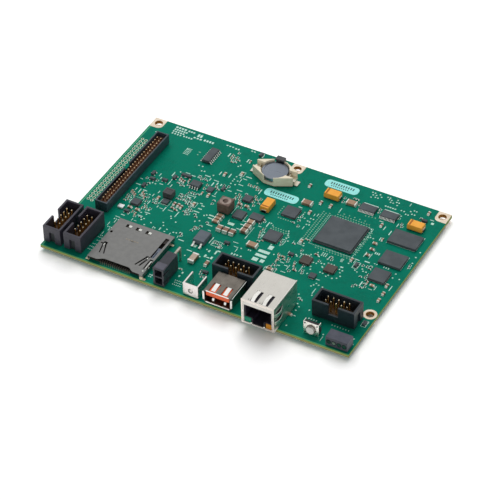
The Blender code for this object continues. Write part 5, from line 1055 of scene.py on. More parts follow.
# The fingers, tabs and edge strip are the can's nickel painted near white: painted highlight.
group("jack_fingers", fingers, 0.05,
      metal("finger_nickel_painted_highlight", (246, 245, 240), (226, 224, 218), 0.26, 1.0, relief=0.001), sharp=50)
wires = []
for number in range(8):
    across = x + (number - 3.5) * 1.02
    wires.append(sprung("wire", at(across - 0.2, JACK_FRONT + 8.1, 8.2), at(across + 0.2, JACK_FRONT + 8.3, 8.6),
                        ((1.6, 0.5), (1.7, 0.55), (1.6, 0.55), (0.9, 0.3))))
group("jack_wires", wires, 0.06, metal("wire_gold", (224, 188, 118), (180, 140, 76), 0.28, 2.0), sharp=50)
for number in range(8):
    solder_spots.append((x + (number - 3.5) * 1.27, 11.7 + (number % 2) * 2.54, 0.75))
solder_spots += [(x + across, 16.2, 0.75) for across in (-6.2, -3.7, 3.7, 6.2)]
solder_spots += [(x + side * 7.75, 12.8, 1.5) for side in (-1, 1)]

# Reset switch. A right-angle tactile switch: a black base riveted in a bright plate with folded
# ears and solder legs, and a grey button that is pushed straight in from the board's front.
SWITCH_FACE = 3.25
x = middle_of("reset_switch_frame")[0]
fit(refined("switch_plate", "reset_switch_frame", 0.07, 1),
    metal("switch_plate_tin", (253, 249, 242), (238, 232, 224), 0.26, 1.2, relief=0.001))
base = refined("switch_base", "reset_switch_body", 0.1, 1)
cut_away(base, block("step", at(x - 4, 5.4, 3.0), at(x + 4, 8.5, 8.0)))
smooth(base)
fit(base, plastic("switch_base_plastic", (34, 34, 36), (20, 20, 22)))
button = refined("switch_button", "reset_switch_button", 0.22, 3)
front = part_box("reset_switch_button")[0].y
pick(button, lambda middle, normal: middle.y < front + 0.3 * MM and normal.y < -0.1)
push(y=0.5)
pick(button, lambda middle, normal: middle.y < front + 0.52 * MM and normal.y < -0.95)
for inwards, out in ((0.3, -0.2), (0.3, -0.14), (0.35, -0.1), (0.35, -0.05)):
    inset_by(inwards)
    push(y=out)
done()
smooth(button, 60)
fit(button, plastic("button_grey_plastic", (240, 240, 234), (220, 220, 212), 0.38), "reset_button")
rivets = [rod("rivet", at(x + side * 2.9, SWITCH_FACE - 0.03, z), 0.7, 0.35, "Y", 12)
          for side in (-1, 1) for z in (1.2, 6.1)]
# A brown-grey ring round the button on the plate: painted shadow of the button.
collar = tube("collar", Vector((0, 0, 0)), 4.5, 3.95, 0.2, 32)
backwards(collar, at(x, SWITCH_FACE, 3.5))
round_off(collar, 0.04, 1, 50)
fit(collar, plastic("button_ring_painted_shadow", (112, 98, 84), (84, 72, 62), 0.5))
group("switch_rivets", rivets, 0.1, plastic("rivet_black_plastic", (40, 40, 42), (24, 24, 26)), 2, 50)
solder_spots += [(x + side * across, back, 1.0) for across, back in ((3.35, 3.55), (2.03, 6.6)) for side in (-1, 1)]

# Status lights. Four small lamps pushed in the pockets of one moulded block, whose leads go down
# through the board; the second lens is clear and the others are green.
LENS_COLOURS = (((2, 62, 46), (1, 40, 30)), ((116, 138, 122), (84, 104, 92)), ((3, 76, 56), (2, 50, 38)),
                ((3, 76, 56), (2, 50, 38)))
x = middle_of("status_light_block")[0]
fit(refined("light_block", "status_light_block", 0.14, 2),
    plastic("light_block_plastic", (78, 80, 92), (58, 61, 73), 0.5))
low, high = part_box("status_light_block")
# A plate over the block's front in a darker copy of its plastic: painted shade on the front face.
front_plate = block("light_block_front", Vector((low.x + 0.15 * MM, low.y - 0.03 * MM, board_face + 0.3 * MM)),
                    Vector((high.x - 0.15 * MM, low.y + 0.05 * MM, high.z - 0.15 * MM)))
holes, wells = [], []
for number, (colour, shade) in enumerate(LENS_COLOURS, 1):
    lens = f"status_light_{number}"
    dress(lens, plastic(f"light_lens_{number}", colour, shade, 0.32, 0.8, 0.003, Specular_IOR_Level=0.12))
    low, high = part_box(lens)
    front = Vector(((low.x + high.x) / 2, low.y, (low.z + high.z) / 2))
    holes.append(rod("hole", front + 0.5 * MM * FRONTWARDS, 1.9, 1.2, "Y", 24))
    # A dark ring round each lens: painted shade at the edge of the lens's pocket.
    well = tube("well", Vector((0, 0, 0)), 2.25, 1.7, 0.2, 24)
    backwards(well, front - 0.08 * MM * FRONTWARDS)
    wells.append(well)
cut_away(front_plate, *holes)
round_off(front_plate, 0.02, 1, 60)
fit(front_plate, plastic("light_block_face_painted_shade", (56, 60, 70), (40, 44, 54), 0.5))
group("light_block_wells", wells, 0.04,
      plastic("light_well_shade", (5, 40, 33), (2, 22, 18), 0.5, Specular_IOR_Level=0.1))
solder_spots += [(x + (number - 1.5) * 2.45, 3.85 + side * 1.27, 0.75) for number in range(4) for side in (-1, 1)]

# Coin cell. A stainless button cell lies in a cream moulded holder; strip contacts come up
# through both ends, and a dark clip at the back holds the cell down.
fit(refined("cell_holder", "coin_cell_holder", 0.22, 2, 25),
    plastic("holder_cream_plastic", (248, 238, 214), (232, 220, 192), 0.55))
cell = refined("button_cell", "coin_cell", 0.12, 2)
pick(cell, lambda middle, normal: normal.z > 0.95 and middle.z > at(0, 0, 4.0).z)
inset_by(0.9)
push(z=-0.05)
inset_by(0.25)
push(z=0.05)
done()
smooth(cell)
fit(cell, metal("cell_stainless", (136, 143, 153), (122, 129, 139), 0.32, 0.25, (0.3, 1.4, 1), 0.0005))
contact_tin = metal("cell_contact_tin", (234, 230, 218), (196, 190, 174), 0.3, 1.5)
for side in ("left", "right"):
    fit(refined("cell_contact_" + side, "coin_cell_contact_" + side, 0.06, 1), contact_tin)
fit(refined("cell_clip", "coin_cell_clip", 0.12, 2),
    plastic("clip_dark_plastic", (74, 76, 78), (50, 52, 54), 0.5))

# Flat chips. Square and oblong packages moulded in dark epoxy over a thin carrier and reflowed on
# balls or pads; each has a pressed index dimple by one corner and a draft on its sides.
FLAT_CHIPS = ("processor", "memory_chip_back", "memory_chip_middle", "network_chip", "controller_chip_upper",
              "controller_chip_lower", "square_chip_back", "square_chip_front", "sensor_chip", "clock_chip")
EDGE_PADS = (("network_chip", 0.5), ("controller_chip_upper", 0.5), ("controller_chip_lower", 0.5),
             ("square_chip_back", 0.65), ("square_chip_front", 0.65), ("sensor_chip", 0.65), ("clock_chip", 1.0),
             ("converter_chip_left", 0.65), ("converter_chip_right", 0.65))


def mould_compound(name, colour, shade, roughness=0.55):
    """Filled epoxy: tiny pale and dark grains of glass in a matt dark face."""
    made = new_material(name, roughness, Specular_IOR_Level=0.4)
    grains = speckle(made, millimetres(made), 9.0, 3.0, 0.3, 0.7)
    cast = speckle(made, millimetres(made), 0.18, 2.0)
    mixed = count(made, "MULTIPLY_ADD", grains, 0.5, count(made, "MULTIPLY", cast, 0.5))
    into_shader(made, "Base Color", blend(made, mixed, paint(*shade), paint(*colour)))
    spread_between(made, "Roughness", grains, roughness - 0.08, roughness + 0.1)
    raise_grain(made, grains, 0.01)
    return made


def moulded_body(name, node_name, carrier, draft, dimple):
    """A package's body: a thin carrier, then the moulding, drawn in towards its flat top."""
    low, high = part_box(node_name)
    base = Vector((high.x, high.y, low.z + carrier * MM))
    body = block(name, low, base)
    pick_top(body)
    inset_by(draft)
    push(z=0.02)
    bpy.ops.transform.translate(value=(0, 0, high.z - base.z - 0.02 * MM))
    inset_by(0.12)
    done()
    if dimple:
        in_by = (dimple * 0.9 + draft) * MM
        cut_away(body, rod("dimple", Vector((low.x + in_by, high.y - in_by, high.z - 0.06 * MM)), dimple, 1.0,
                           sides=20))
    round_off(body, 0.09, 2)
    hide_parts(node_name)
    return body


black_epoxy = mould_compound("black_mould_compound", (84, 90, 94), (60, 66, 70))
for node_name in FLAT_CHIPS:
    large = node_name == "processor"
    body = moulded_body(node_name + "_body", node_name, 0.45 if large else 0.3, 0.5 if large else 0.12,
                        1.1 if large else 0.6)
    fit(body, black_epoxy)
brown_epoxy = mould_compound("brown_mould_compound", (88, 80, 74), (62, 54, 50))
for node_name in ("converter_chip_left", "converter_chip_right"):
    fit(moulded_body(node_name + "_body", node_name, 0.3, 0.1, 0.5), brown_epoxy)
edge_pads = []
for node_name, pitch in EDGE_PADS:
    low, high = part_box(node_name)
    x, y = middle_of(node_name)
    for side, length in ((0, high.x - low.x), (1, high.y - low.y)):
        total = int((length / MM - 0.9) / pitch)
        reach = ((high.y - low.y) if side == 0 else (high.x - low.x)) / MM / 2
        for number in range(total):
            along = (number - (total - 1) / 2) * pitch
            for hand in (-1, 1):
                if side == 0:
                    edge_pads.append((x + along, y + hand * reach, 0, 0))
                else:
                    edge_pads.append((x + hand * reach, y + along, 0, math.pi / 2))
fit(lay("chip_edge_pads", centred("pad", 0.26, 0.5, 0.0, 0.34), edge_pads),
    metal("edge_pad_tin", (206, 206, 202), (158, 158, 154), 0.36, 2.0))
balls = []
for node_name, pitch in (("processor", 1.0), ("memory_chip_back", 0.8), ("memory_chip_middle", 0.8)):
    low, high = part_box(node_name)
    x, y = middle_of(node_name)
    across, back = (int((size - 1.2 * MM) / MM / pitch) for size in (high.x - low.x, high.y - low.y))
    for column in range(across + 1):
        for row in range(back + 1):
            if column in (0, 1, across - 1, across) or row in (0, 1, back - 1, back):
                balls.append((x + (column - across / 2) * pitch, y + (row - back / 2) * pitch, 0, 0))
ball = rod("ball", Vector((0, 0, 0)), 0.45, 0.32, sides=8)
fit(lay("chip_solder_balls", ball, balls),
    metal("solder_ball_tin", (190, 190, 188), (140, 140, 138), 0.35, 2.0))

# Leaded chips. Moulded bodies parted along their middle, with tinned leads bent down and out in
# two rows; the driver chips are thinner and have finer leads than the other two.
# Node, turn, length, depth, top, leads to a side, pitch, width of a lead.
LEADED_CHIPS = (("logic_chip", 90, 9.9, 3.9, 1.75, 8, 1.27, 0.42),
                ("transceiver_chip", 0, 4.9, 3.9, 1.75, 4, 1.27, 0.42),
                ("driver_chip_left", 0, 7.8, 4.6, 1.2, 12, 0.65, 0.28),
                ("driver_chip_right", 0, 7.8, 4.6, 1.2, 12, 0.65, 0.28))


def gull_lead(width, side, waist, sheet=0.2):
    """A lead over the origin that leaves the body's back face, bends down and ends in a foot."""
    lead = block("lead", Vector((-width / 2, side - 0.25, waist - sheet / 2)) * MM,
                 Vector((width / 2, side + 0.2, waist + sheet / 2)) * MM)
    pick(lead, lambda middle, normal: normal.y > 0.9)
    push(y=0.12, z=-0.12)
    push(y=0.08, z=0.32 + sheet - waist - sheet / 2)
    push(y=0.12, z=-0.12)
    push(y=0.5)
    done()
    return lead


lead_tin = metal("lead_tin", (244, 245, 240), (216, 217, 212), 0.36, 2.0, relief=0.002, metallic=0.4)
lead_sets = []
for node_name, degrees, length, depth, top, total, pitch, width in LEADED_CHIPS:
    x, y = middle_of(node_name)
    turn = math.radians(degrees)
    waist = (0.3 + top) / 2
    body = centred("body", length, depth, 0.3, waist)
    pick_top(body)
    push(z=top - waist)
    draw_in(1 - 0.3 / length, 1 - 0.3 / depth)
    pick(body, lambda middle, normal: normal.z < -0.9)
    draw_in(1 - 0.3 / length, 1 - 0.3 / depth)
    done()
    cut_away(body, rod("dimple", Vector((0.7 - length / 2, 0.8 - depth / 2, top - 0.06)) * MM, 0.6, 1.0, sides=16))
    round_off(body, 0.07, 2, 20)
    body = lay(node_name + "_body", body, [(x, y, 0, turn)])
    fit(body, black_epoxy)
    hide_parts(node_name)
    row = []
    for number in range(total):
        along = Vector(((number - (total - 1) / 2) * pitch, 0, 0))
        for half_turn in (0, math.pi):
            spot = Matrix.Rotation(turn, 3, "Z") @ along
            row.append((x + spot.x, y + spot.y, 0, turn + half_turn))
    lead_sets.append(lay("leads", gull_lead(width, depth / 2, waist), row))
group("chip_leads", lead_sets, 0.04, lead_tin, sharp=50)

# Large capacitors. Three tantalum blocks moulded in orange epoxy with a dark stripe at the
# positive end, and a tinned strip terminal folded down each end face.
TANTALUMS = (("tantalum_capacitor_left", 90), ("tantalum_capacitor_back", 0), ("tantalum_capacitor_right", 0))
orange_epoxy = plastic("tantalum_epoxy", (255, 184, 72), (246, 164, 52), 0.4, 2.0, 0.004)
straps, stripes = [], []
for node_name, degrees in TANTALUMS:
    x, y = middle_of(node_name)
    turn = math.radians(degrees)
    body = centred("body", 7.3, 4.3, 0.3, 1.5)
    pick_top(body)
    push(z=1.4)
    draw_in(0.955, 0.93)
    done()
    round_off(body, 0.16, 2)
    body = lay(node_name + "_body", body, [(x, y, 0, turn)])
    fit(body, orange_epoxy)
    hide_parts(node_name)
    stripe = centred("stripe", 0.8, 3.7, 2.86, 2.93)
    move(stripe, Vector((-2.5 * MM, 0, 0)))
    stripes.append(lay("stripe", stripe, [(x, y, 0, turn)]))
    for side in (0, math.pi):
        strap = block("strap", Vector((3.42, -1.2, 1.3)) * MM, Vector((3.9, 1.2, 1.52)) * MM)
        pick(strap, lambda middle, normal: normal.x > 0.9)
        push(x=0.02, z=-0.1)
        push(z=-1.1)
        done()
        strap_low = block("strap_foot", Vector((2.4, -1.2, 0.05)) * MM, Vector((3.9, 1.2, 0.3)) * MM)
        straps.append(lay("strap", gather("strap", [strap, strap_low]), [(x, y, 0, turn + side)]))
group("tantalum_straps", straps, 0.05,
      metal("strap_bright_tin", (246, 242, 230), (218, 212, 198), 0.34, 1.5, metallic=0.4), sharp=50)
group("tantalum_stripes", stripes, 0.03, ink("tantalum_stripe_ink", (176, 104, 34), (150, 84, 24)))

# Coils, fuse and regulator. Two wound coils potted in square cases, a resettable fuse with tinned
# ends, and a power regulator whose moulding sits on a wide metal tab with two leads in front.
x, y = middle_of("power_inductor")
power_coil = centred("power_coil", 6.1, 6.0, 0.3, 5.4)
pick_top(power_coil)
inset_by(0.5)
done()
round_off(power_coil, 1.1, 4, 60)
move(power_coil, at(x, y))
fit(power_coil, plastic("inductor_brown_ferrite", (112, 92, 82), (84, 66, 58), 0.5, 4.0))
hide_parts("power_inductor")
face = rod("power_coil_face", at(x, y, 5.34), 5.2, 0.1, sides=32)
pick_top(face)
inset_by(0.4)
inset_by(0.9)
push(z=-0.04)
done()
round_off(face, 0.03, 1)
fit(face, plastic("inductor_ground_face", (176, 160, 150), (108, 92, 84), 0.5, 1.6, 0.02))
x, y = middle_of("small_inductor")
small_coil = centred("small_coil", 4.5, 4.0, 0.3, 3.2)
pick_top(small_coil)
inset_by(0.7)
push(z=-0.25)
done()
round_off(small_coil, 0.2, 2)
move(small_coil, at(x, y))
fit(small_coil, plastic("small_inductor_ferrite", (76, 76, 78), (54, 54, 56), 0.55, 4.0))
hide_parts("small_inductor")
x, y = middle_of("surge_fuse")
fuse = centred("fuse", 2.9, 4.5, 0.3, 1.85)
round_off(fuse, 0.15, 2)
move(fuse, at(x, y))
fit(fuse, plastic("fuse_brown_core", (128, 112, 78), (96, 80, 52), 0.5, 3.0))
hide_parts("surge_fuse")
face = centred("fuse_face", 2.6, 3.9, 1.8, 1.97)
round_off(face, 0.08, 2)
move(face, at(x, y))
fit(face, plastic("fuse_ivory_ceramic", (206, 190, 172), (178, 158, 140), 0.45, 3.0))
ends = []
for side in (-1, 1):
    end = centred("end", 3.0, 0.9, 0.25, 2.0)
    round_off(end, 0.14, 2)
    move(end, at(x, y + side * 2.4))
    ends.append(end)
fit(gather("fuse_ends", ends), lead_tin)
REGULATOR_MIDDLE = 35.66
x, y = middle_of("voltage_regulator")[0], REGULATOR_MIDDLE
regulator_body = centred("regulator_body", 5.6, 7.4, 0.3, 1.3)
pick_top(regulator_body)
push(z=1.1)
draw_in(0.93, 0.94)
done()
cut_away(regulator_body, rod("dimple", Vector((-1.8, -2.6, 2.34)) * MM, 0.7, 1.0, sides=16))
round_off(regulator_body, 0.1, 2)
move(regulator_body, at(x, y))
fit(regulator_body, mould_compound("regulator_mould", (104, 112, 120), (80, 88, 96)))
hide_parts("voltage_regulator")
parts = [block("tab", at(x - 2.5, y + 3.4, 0.3), at(x + 2.5, y + 4.3, 0.7))]
for side in (-1, 1):
    lead = block("lead", at(x + side * 1.8 - 0.45, y - 4.3, 1.0), at(x + side * 1.8 + 0.45, y - 3.4, 1.4))
    pick(lead, lambda middle, normal: normal.y < -0.9)
    push(y=-0.25, z=-0.25)
    push(y=-0.15, z=-0.35)
    push(y=-0.25, z=-0.1)
    push(y=-1.4)
    done()
    parts.append(lead)
group("regulator_tab_and_leads", parts, 0.07, lead_tin, sharp=50)

# Small parts. Ceramic capacitors, thick-film resistors, transistors, small chips and a crystal in
# its can, reflowed flat on the board; each chip part has a cap of tinned metal round each end.
CAPACITORS = {  # length, depth, height: spots (x, y, quarter turns)
    (4.8, 3.0, 1.3): ((91.6, 78.8, 0), (109.3, 87.8, 0), (83.4, 42.3, 0)),
    (3.2, 2.5, 1.5): ((75.7, 55.2, 0), (75.7, 52.0, 0), (75.7, 48.8, 0), (65.2, 45.4, 1), (68.4, 45.4, 1),
                      (71.6, 45.4, 1)),
    (3.2, 1.6, 1.1): ((61.3, 53.2, 0), (61.3, 51.0, 0), (61.3, 48.8, 0), (97.6, 31.8, 0), (71.6, 22.4, 1)),
    (2.0, 1.25, 0.8): ((22.2, 39.9, 0), (26.1, 39.9, 0), (48.9, 79.7, 1), (55.8, 83.4, 1), (38.9, 50.9, 1),
                       (41.0, 50.9, 1), (42.7, 50.4, 1), (65.0, 64.4, 0), (68.5, 64.4, 0), (130.6, 68.3, 0),
                       (131.3, 64.2, 0), (131.3, 60.0, 0), (141.9, 43.0, 0), (30.4, 51.2, 1), (96.9, 82.0, 1),
                       (101.8, 82.0, 1), (143.0, 97.6, 1), (127.8, 80.6, 1), (95.5, 73.8, 1), (101.3, 54.8, 1),
                       (126.5, 54.0, 1), (46.8, 54.7, 1), (147.6, 45.9, 1), (148.5, 40.6, 1), (148.6, 36.0, 1),
                       (49.5, 63.2, 1), (118.9, 10.6, 0), (87.0, 90.3, 1)),
    (1.6, 0.8, 0.6): ((46.2, 63.3, 1), (98.9, 42.0, 0), (97.3, 41.2, 1), (97.6, 38.4, 1), (54.9, 92.9, 1),
                      (132.4, 72.3, 1), (39.4, 48.2, 0), (41.3, 47.6, 0), (17.4, 50.1, 1), (18.6, 49.3, 1),
                      (19.8, 48.3, 1), (22.3, 51.3, 1), (23.5, 50.1, 1), (24.6, 48.6, 1), (79.4, 60.0, 0),
                      (26.6, 37.1, 1), (33.7, 67.0, 1), (35.0, 66.6, 1), (36.7, 68.2, 1), (32.6, 67.6, 1),
                      (105.8, 39.4, 1), (107.3, 36.5, 0), (111.2, 50.0, 0), (139.2, 43.8, 1)),
    (1.0, 0.5, 0.45): ((61.4, 70.3, 1), (62.5, 69.2, 1), (60.9, 68.2, 1), (62.9, 67.6, 1), (61.1, 66.5, 0),
                       (63.7, 66.0, 1), (68.6, 72.5, 1), (69.6, 71.1, 1), (70.6, 70.3, 0), (71.5, 71.9, 1),
                       (69.4, 68.6, 1), (70.6, 66.6, 1), (66.5, 62.7, 1), (64.4, 62.8, 1), (62.0, 78.4, 1),
                       (63.3, 78.1, 1), (64.9, 78.3, 1), (66.2, 78.5, 1), (66.8, 77.0, 1), (67.9, 77.4, 1),
                       (45.4, 93.5, 1), (45.5, 91.7, 1), (46.5, 92.6, 1), (46.6, 90.5, 1), (48.1, 92.9, 1),
                       (48.3, 91.3, 1), (47.0, 96.2, 1), (47.3, 88.9, 0), (49.6, 91.2, 0), (22.1, 49.1, 0),
                       (17.2, 45.4, 1), (18.6, 44.6, 1), (17.4, 43.2, 0), (28.3, 43.4, 1), (29.5, 42.3, 1),
                       (27.2, 42.2, 1), (26.9, 35.8, 1), (24.7, 38.1, 1), (45.2, 66.8, 1), (45.3, 69.5, 1),
                       (50.0, 69.6, 0), (49.3, 70.8, 1), (96.2, 42.7, 1), (99.9, 40.5, 0), (98.0, 39.7, 1),
                       (101.5, 42.0, 1), (70.7, 35.6, 1), (71.6, 34.8, 1), (63.2, 14.2, 0), (54.9, 41.5, 0),
                       (56.2, 41.5, 1), (55.0, 40.1, 0), (102.5, 56.9, 0), (103.9, 56.9, 0), (108.5, 47.6, 0),
                       (85.6, 47.2, 0), (82.4, 54.4, 1), (82.2, 52.2, 1), (82.7, 50.4, 1), (83.3, 48.9, 1))}
# Resistors and transistors: x, y, quarter turns. Small chips: x, y.
RESISTORS = ((38.4, 56.7, 0), (38.1, 58.2, 0), (39.5, 57.9, 1), (38.1, 54.8, 0), (41.1, 56.4, 1), (41.6, 55.0, 0),
             (42.5, 57.3, 0), (42.9, 55.4, 1), (44.0, 56.4, 1), (44.6, 54.8, 0), (43.6, 53.6, 0), (39.8, 55.6, 1),
             (40.4, 59.2, 1), (45.5, 53.0, 1), (46.4, 51.6, 1), (45.6, 50.2, 1), (46.6, 49.2, 1), (47.7, 50.6, 1),
             (45.2, 48.4, 0), (46.4, 47.4, 1), (47.6, 48.0, 1), (26.4, 47.2, 1), (25.6, 49.8, 1), (30.0, 47.4, 0),
             (31.4, 48.2, 1), (28.8, 49.8, 1), (16.8, 47.2, 1), (18.0, 46.9, 1), (50.5, 49.0, 0), (51.7, 47.6, 0),
             (53.4, 61.3, 0), (53.5, 59.2, 1), (33.0, 64.6, 0), (34.6, 64.2, 1), (35.9, 63.8, 0), (37.4, 65.8, 1),
             (40.6, 61.4, 1), (42.0, 61.6, 1), (43.3, 61.4, 1), (45.0, 61.6, 0), (40.9, 72.0, 1), (42.0, 73.2, 1),
             (39.4, 73.1, 1), (43.4, 72.0, 0), (51.2, 68.8, 0), (52.2, 72.8, 1), (54.4, 73.0, 1), (60.2, 64.9, 1),
             (64.3, 71.9, 0), (72.2, 68.6, 0), (70.4, 63.2, 0), (80.3, 59.2, 1), (79.0, 57.4, 1), (84.2, 46.2, 0),
             (93.6, 66.9, 0), (94.9, 63.3, 1), (93.3, 69.8, 1), (92.0, 64.4, 0), (104.0, 49.8, 1), (114.0, 46.9, 1),
             (94.0, 49.2, 1), (93.2, 50.9, 1), (98.9, 51.9, 0), (132.3, 53.2, 1), (134.3, 53.4, 1), (135.9, 53.9, 0),
             (136.0, 52.2, 0), (137.0, 48.8, 1), (136.6, 46.8, 1), (134.7, 46.0, 0), (138.2, 45.0, 0),
             (138.4, 42.6, 0), (139.0, 41.2, 1), (138.0, 39.8, 0), (117.8, 51.6, 0), (118.4, 50.2, 1),
             (135.3, 40.2, 0), (134.2, 39.2, 1), (135.1, 85.6, 1), (135.8, 84.2, 1), (150.4, 62.6, 1),
             (150.6, 61.0, 1), (104.6, 90.2, 1), (105.0, 87.4, 1), (112.7, 88.9, 1), (122.2, 90.4, 1),
             (122.5, 88.4, 1), (132.3, 88.6, 1), (141.3, 93.0, 0), (48.8, 89.4, 0), (67.4, 36.6, 1), (68.4, 36.9, 1),
             (69.4, 36.5, 1), (70.2, 34.0, 0), (101.9, 40.4, 1), (97.2, 35.6, 1), (105.0, 41.2, 1), (106.5, 37.8, 1),
             (105.2, 35.2, 1), (109.4, 40.8, 1), (110.4, 38.2, 1), (110.9, 36.6, 1), (98.4, 35.9, 1),
             (27.6, 44.4, 1), (30.6, 43.2, 1), (29.6, 36.2, 0), (54.5, 38.8, 0), (52.0, 33.8, 1), (51.4, 34.8, 0),
             (71.6, 17.6, 1), (71.9, 15.9, 1), (73.3, 14.5, 1), (74.6, 14.6, 1), (117.6, 21.6, 0), (118.8, 20.8, 0),
             (109.0, 91.6, 0), (110.4, 91.5, 0), (96.7, 33.9, 0), (99.6, 33.4, 0), (58.2, 46.6, 0), (56.9, 43.2, 0),
             (21.2, 58.4, 0), (18.4, 61.4, 1), (23.4, 62.0, 1))
TRANSISTORS = ((21.3, 61.7, 0), (26.8, 63.4, 0), (19.7, 65.4, 1), (20.1, 56.0, 1), (53.3, 70.2, 1), (29.8, 67.2, 1),
               (57.0, 99.4, 1), (143.4, 91.9, 0), (22.4, 36.9, 0), (73.9, 17.2, 0), (149.8, 20.2, 1), (72.8, 38.5, 0),
               (101.4, 44.9, 0), (129.8, 51.8, 1), (35.2, 70.6, 0), (32.8, 70.6, 0))
SMALL_CHIPS = ((48.4, 67.0), (116.2, 36.7), (34.6, 50.4))


def chip_part(length, depth, height, end):
    """A chip part over the origin: its ceramic body and its two end caps, as two pieces."""
    body = centred("body", length - 2 * end + 0.1, depth * 0.94, 0.03, height * 0.96)
    round_off(body, 0.05, 1, 60)
    caps = []
    for side in (-1, 1):
        cap = block("cap", Vector((min(side * length / 2, side * (length / 2 - end)), -depth / 2, 0)) * MM,
                    Vector((max(side * length / 2, side * (length / 2 - end)), depth / 2, height)) * MM)
        round_off(cap, min(0.09, height / 6), 1, 60)
        fillet = centred("fillet", 0.36, depth * 0.9, 0.0, height * 0.5)
        pick_top(fillet)
        draw_in(0.3, 1, (-side * 0.18 * MM, 0, 0))
        done()
        move(fillet, Vector((side * (length / 2 + 0.12) * MM, 0, 0)))
        caps += [cap, fillet]
    return body, gather("caps", caps)


bodies, caps = [], []
for (length, depth, height), spots in CAPACITORS.items():
    body, ends = chip_part(length, depth, height, 0.22 * length if length < 3 else 0.55)
    turned = [(x, y, 0, turns * math.pi / 2) for x, y, turns in spots]
    bodies.append(lay("bodies", body, turned))
    caps.append(lay("caps", ends, turned))
made = new_material("ceramic_tan", 0.42)
batch = speckle(made, millimetres(made), 0.13, 1.0, 0.42, 0.58)
fired = speckle(made, millimetres(made), 3.0, 4.0)
tan = blend(made, batch, paint(132, 98, 80), paint(178, 144, 116))
into_shader(made, "Base Color", blend(made, count(made, "MULTIPLY", fired, 0.4), tan, paint(112, 76, 62)))
spread_between(made, "Roughness", fired, 0.36, 0.52)
raise_grain(made, fired, 0.008)
fit(gather("ceramic_capacitor_bodies", bodies), made)
cap_tin = metal("end_cap_tin", (238, 242, 234), (204, 210, 200), 0.36, 2.0, relief=0.002, metallic=0.5)
fit(gather("ceramic_capacitor_caps", caps), cap_tin)
body, ends = chip_part(1.05, 0.52, 0.36, 0.24)
turned = [(x, y, 0, turns * math.pi / 2) for x, y, turns in RESISTORS]
fit(lay("resistor_bodies", body, turned),
    mould_compound("resistor_glaze", (58, 58, 62), (32, 32, 36), 0.35))
fit(lay("resistor_caps", ends, turned), cap_tin)
body = centred("body", 2.6, 1.5, 0.1, 0.6)
pick_top(body)
push(z=0.45)
draw_in(0.9, 0.84)
done()
round_off(body, 0.06, 1)
turned = [(x, y, 0, turns * math.pi / 2) for x, y, turns in TRANSISTORS]
chip = centred("chip", 3.0, 3.0, 0.08, 0.85)
pick_top(chip)
inset_by(0.12)
push(z=0.05)
done()
round_off(chip, 0.06, 1)
bodies = [lay("bodies", body, turned), lay("chips", chip, [(x, y, 0, 0) for x, y in SMALL_CHIPS])]
fit(gather("transistor_bodies", bodies), black_epoxy)
legs = []
for along, side in ((-0.95, -1), (0.95, -1), (0.0, 1)):
    leg = block("leg", Vector((along - 0.2, min(side * 0.6, side * 1.25), 0.02)) * MM,
                Vector((along + 0.2, max(side * 0.6, side * 1.25), 0.16)) * MM)
    legs.append(leg)
feet = [block("foot", Vector((along - 0.13, out - 0.22, 0.0)) * MM, Vector((along + 0.13, out + 0.22, 0.18)) * MM)
        for along in (-1.0, -0.35, 0.35, 1.0) for out in (-1.62, 1.62)]
legs = [lay("legs", gather("legs", legs), turned),
        lay("feet", gather("feet", feet), [(x, y, 0, 0) for x, y in SMALL_CHIPS])]
fit(gather("transistor_legs", legs), lead_tin)
tick = centred("tick", 0.3, 1.25, PRINT_FOOT, PRINT_TOP)
round_off(tick, 0.03, 1, 60)
ticks = [(x + 0.72, y, 0, 0) if turns else (x, y + 0.68, 0, math.pi / 2)
         for x, y, turns in RESISTORS + CAPACITORS[(1.0, 0.5, 0.45)]]
fit(lay("part_ticks", tick, ticks), ink("thin_white_ink", (198, 240, 226), (146, 206, 188)))
can = centred("can", 2.7, 2.2, 0.1, 0.95)
pick_top(can)
inset_by(0.25)
push(z=0.12)
done()
round_off(can, 0.12, 2)
fit(lay("crystal_can", can, [(18.6, 38.4, 0, 0)]),
    metal("crystal_can_nickel", (248, 248, 248), (226, 226, 228), 0.3, 1.2, metallic=0.5))

# Solder joints. Where a tail comes through the board's underside, a small cone of solder climbs
# it; the wave leaves them all alike, wider at the heavier tails.
joint_sets = []
for diameter in sorted({wide for x, y, wide in solder_spots}):
    bpy.ops.object.select_all(action="DESELECT")
    bpy.ops.mesh.primitive_cone_add(vertices=10, radius1=diameter * MM, radius2=diameter * MM / 2.4, depth=0.8 * MM,
                                    rotation=(math.pi, 0, 0), location=(0, 0, -1.99 * MM))
    joint = named("joint")
    pick(joint, lambda middle, normal: normal.z < -0.9)
    inset_by(diameter * 0.12)
    bpy.ops.transform.translate(value=(0, 0, -0.12 * MM))
    done()
    smooth(joint)
    joint_sets.append(lay("joints", joint, [(x, y, 0, 0) for x, y, wide in solder_spots if wide == diameter]))
fit(gather("solder_joints", joint_sets),
    metal("wave_solder", (208, 208, 206), (160, 160, 160), 0.28, 1.5))

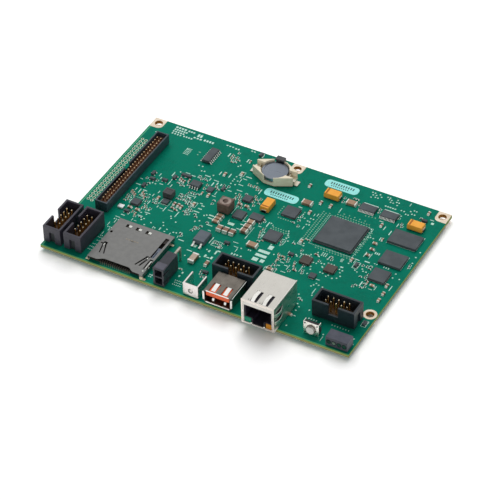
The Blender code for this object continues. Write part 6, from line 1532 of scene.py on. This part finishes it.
# Studio. A white floor, a soft lamp high behind the left end, a weaker one in front, and even
# light from all round; the camera sees a floor that runs out to plain white.
def floor_material():
    made = new_material("pale_floor", 0.85)
    mottle = speckle(made, millimetres(made), 0.02, 2.0)
    chalk = blend(made, mottle, paint(238, 238, 238), paint(241, 241, 241))
    seen = node(made, "LightPath")
    shown = count(made, "MAXIMUM", seen.outputs["Is Camera Ray"], seen.outputs["Is Glossy Ray"])
    lift = count(made, "MULTIPLY_ADD", shown, 0.6, 1.0)
    lifted = node(made, "VectorMath", {0: chalk, "Scale": lift}, operation="SCALE")
    matt = node(made, "BsdfDiffuse", {"Color": lifted.outputs[0]})
    made.node_tree.links.new(matt.outputs[0], made.node_tree.nodes["Material Output"].inputs["Surface"])
    return made


bpy.ops.object.select_all(action="DESELECT")
bpy.ops.mesh.primitive_plane_add(size=12.0, location=(0, 0, 0))
floor = named("floor")
floor.data.materials.append(floor_material())


def lamp(place, size, power):
    """A soft square lamp that faces the middle of the board."""
    bpy.ops.object.light_add(type="AREA", location=place)
    light = bpy.context.object
    light.data.size = size
    light.data.energy = power
    light.rotation_euler = (-Vector(place)).to_track_quat("-Z", "Y").to_euler()
    light.visible_glossy = False


lamp((-0.28, 0.52, 0.85), 1.0, 9.6)
lamp((0.5, -1.0, 0.3), 0.8, 3.7)

world = bpy.data.worlds.new("studio_air")
world.use_nodes = True
bpy.context.scene.world = world
air = world.node_tree.nodes
path = air.new("ShaderNodeLightPath")
shown = None
for ray in ("Is Camera Ray", "Is Glossy Ray", "Is Transmission Ray"):
    either = air.new("ShaderNodeMath")
    either.operation = "MAXIMUM"
    world.node_tree.links.new(path.outputs[ray], either.inputs[0])
    either.inputs[1].default_value = 0.0
    if shown:
        world.node_tree.links.new(shown, either.inputs[1])
    shown = either.outputs[0]
strength = air.new("ShaderNodeMapRange")
world.node_tree.links.new(shown, strength.inputs["Value"])
strength.inputs["To Min"].default_value = 0.22
strength.inputs["To Max"].default_value = 1.0
world.node_tree.links.new(strength.outputs["Result"], air["Background"].inputs["Strength"])
air["Background"].inputs["Color"].default_value = (1, 1, 1, 1)

bpy.context.scene.view_settings.view_transform = "Standard"
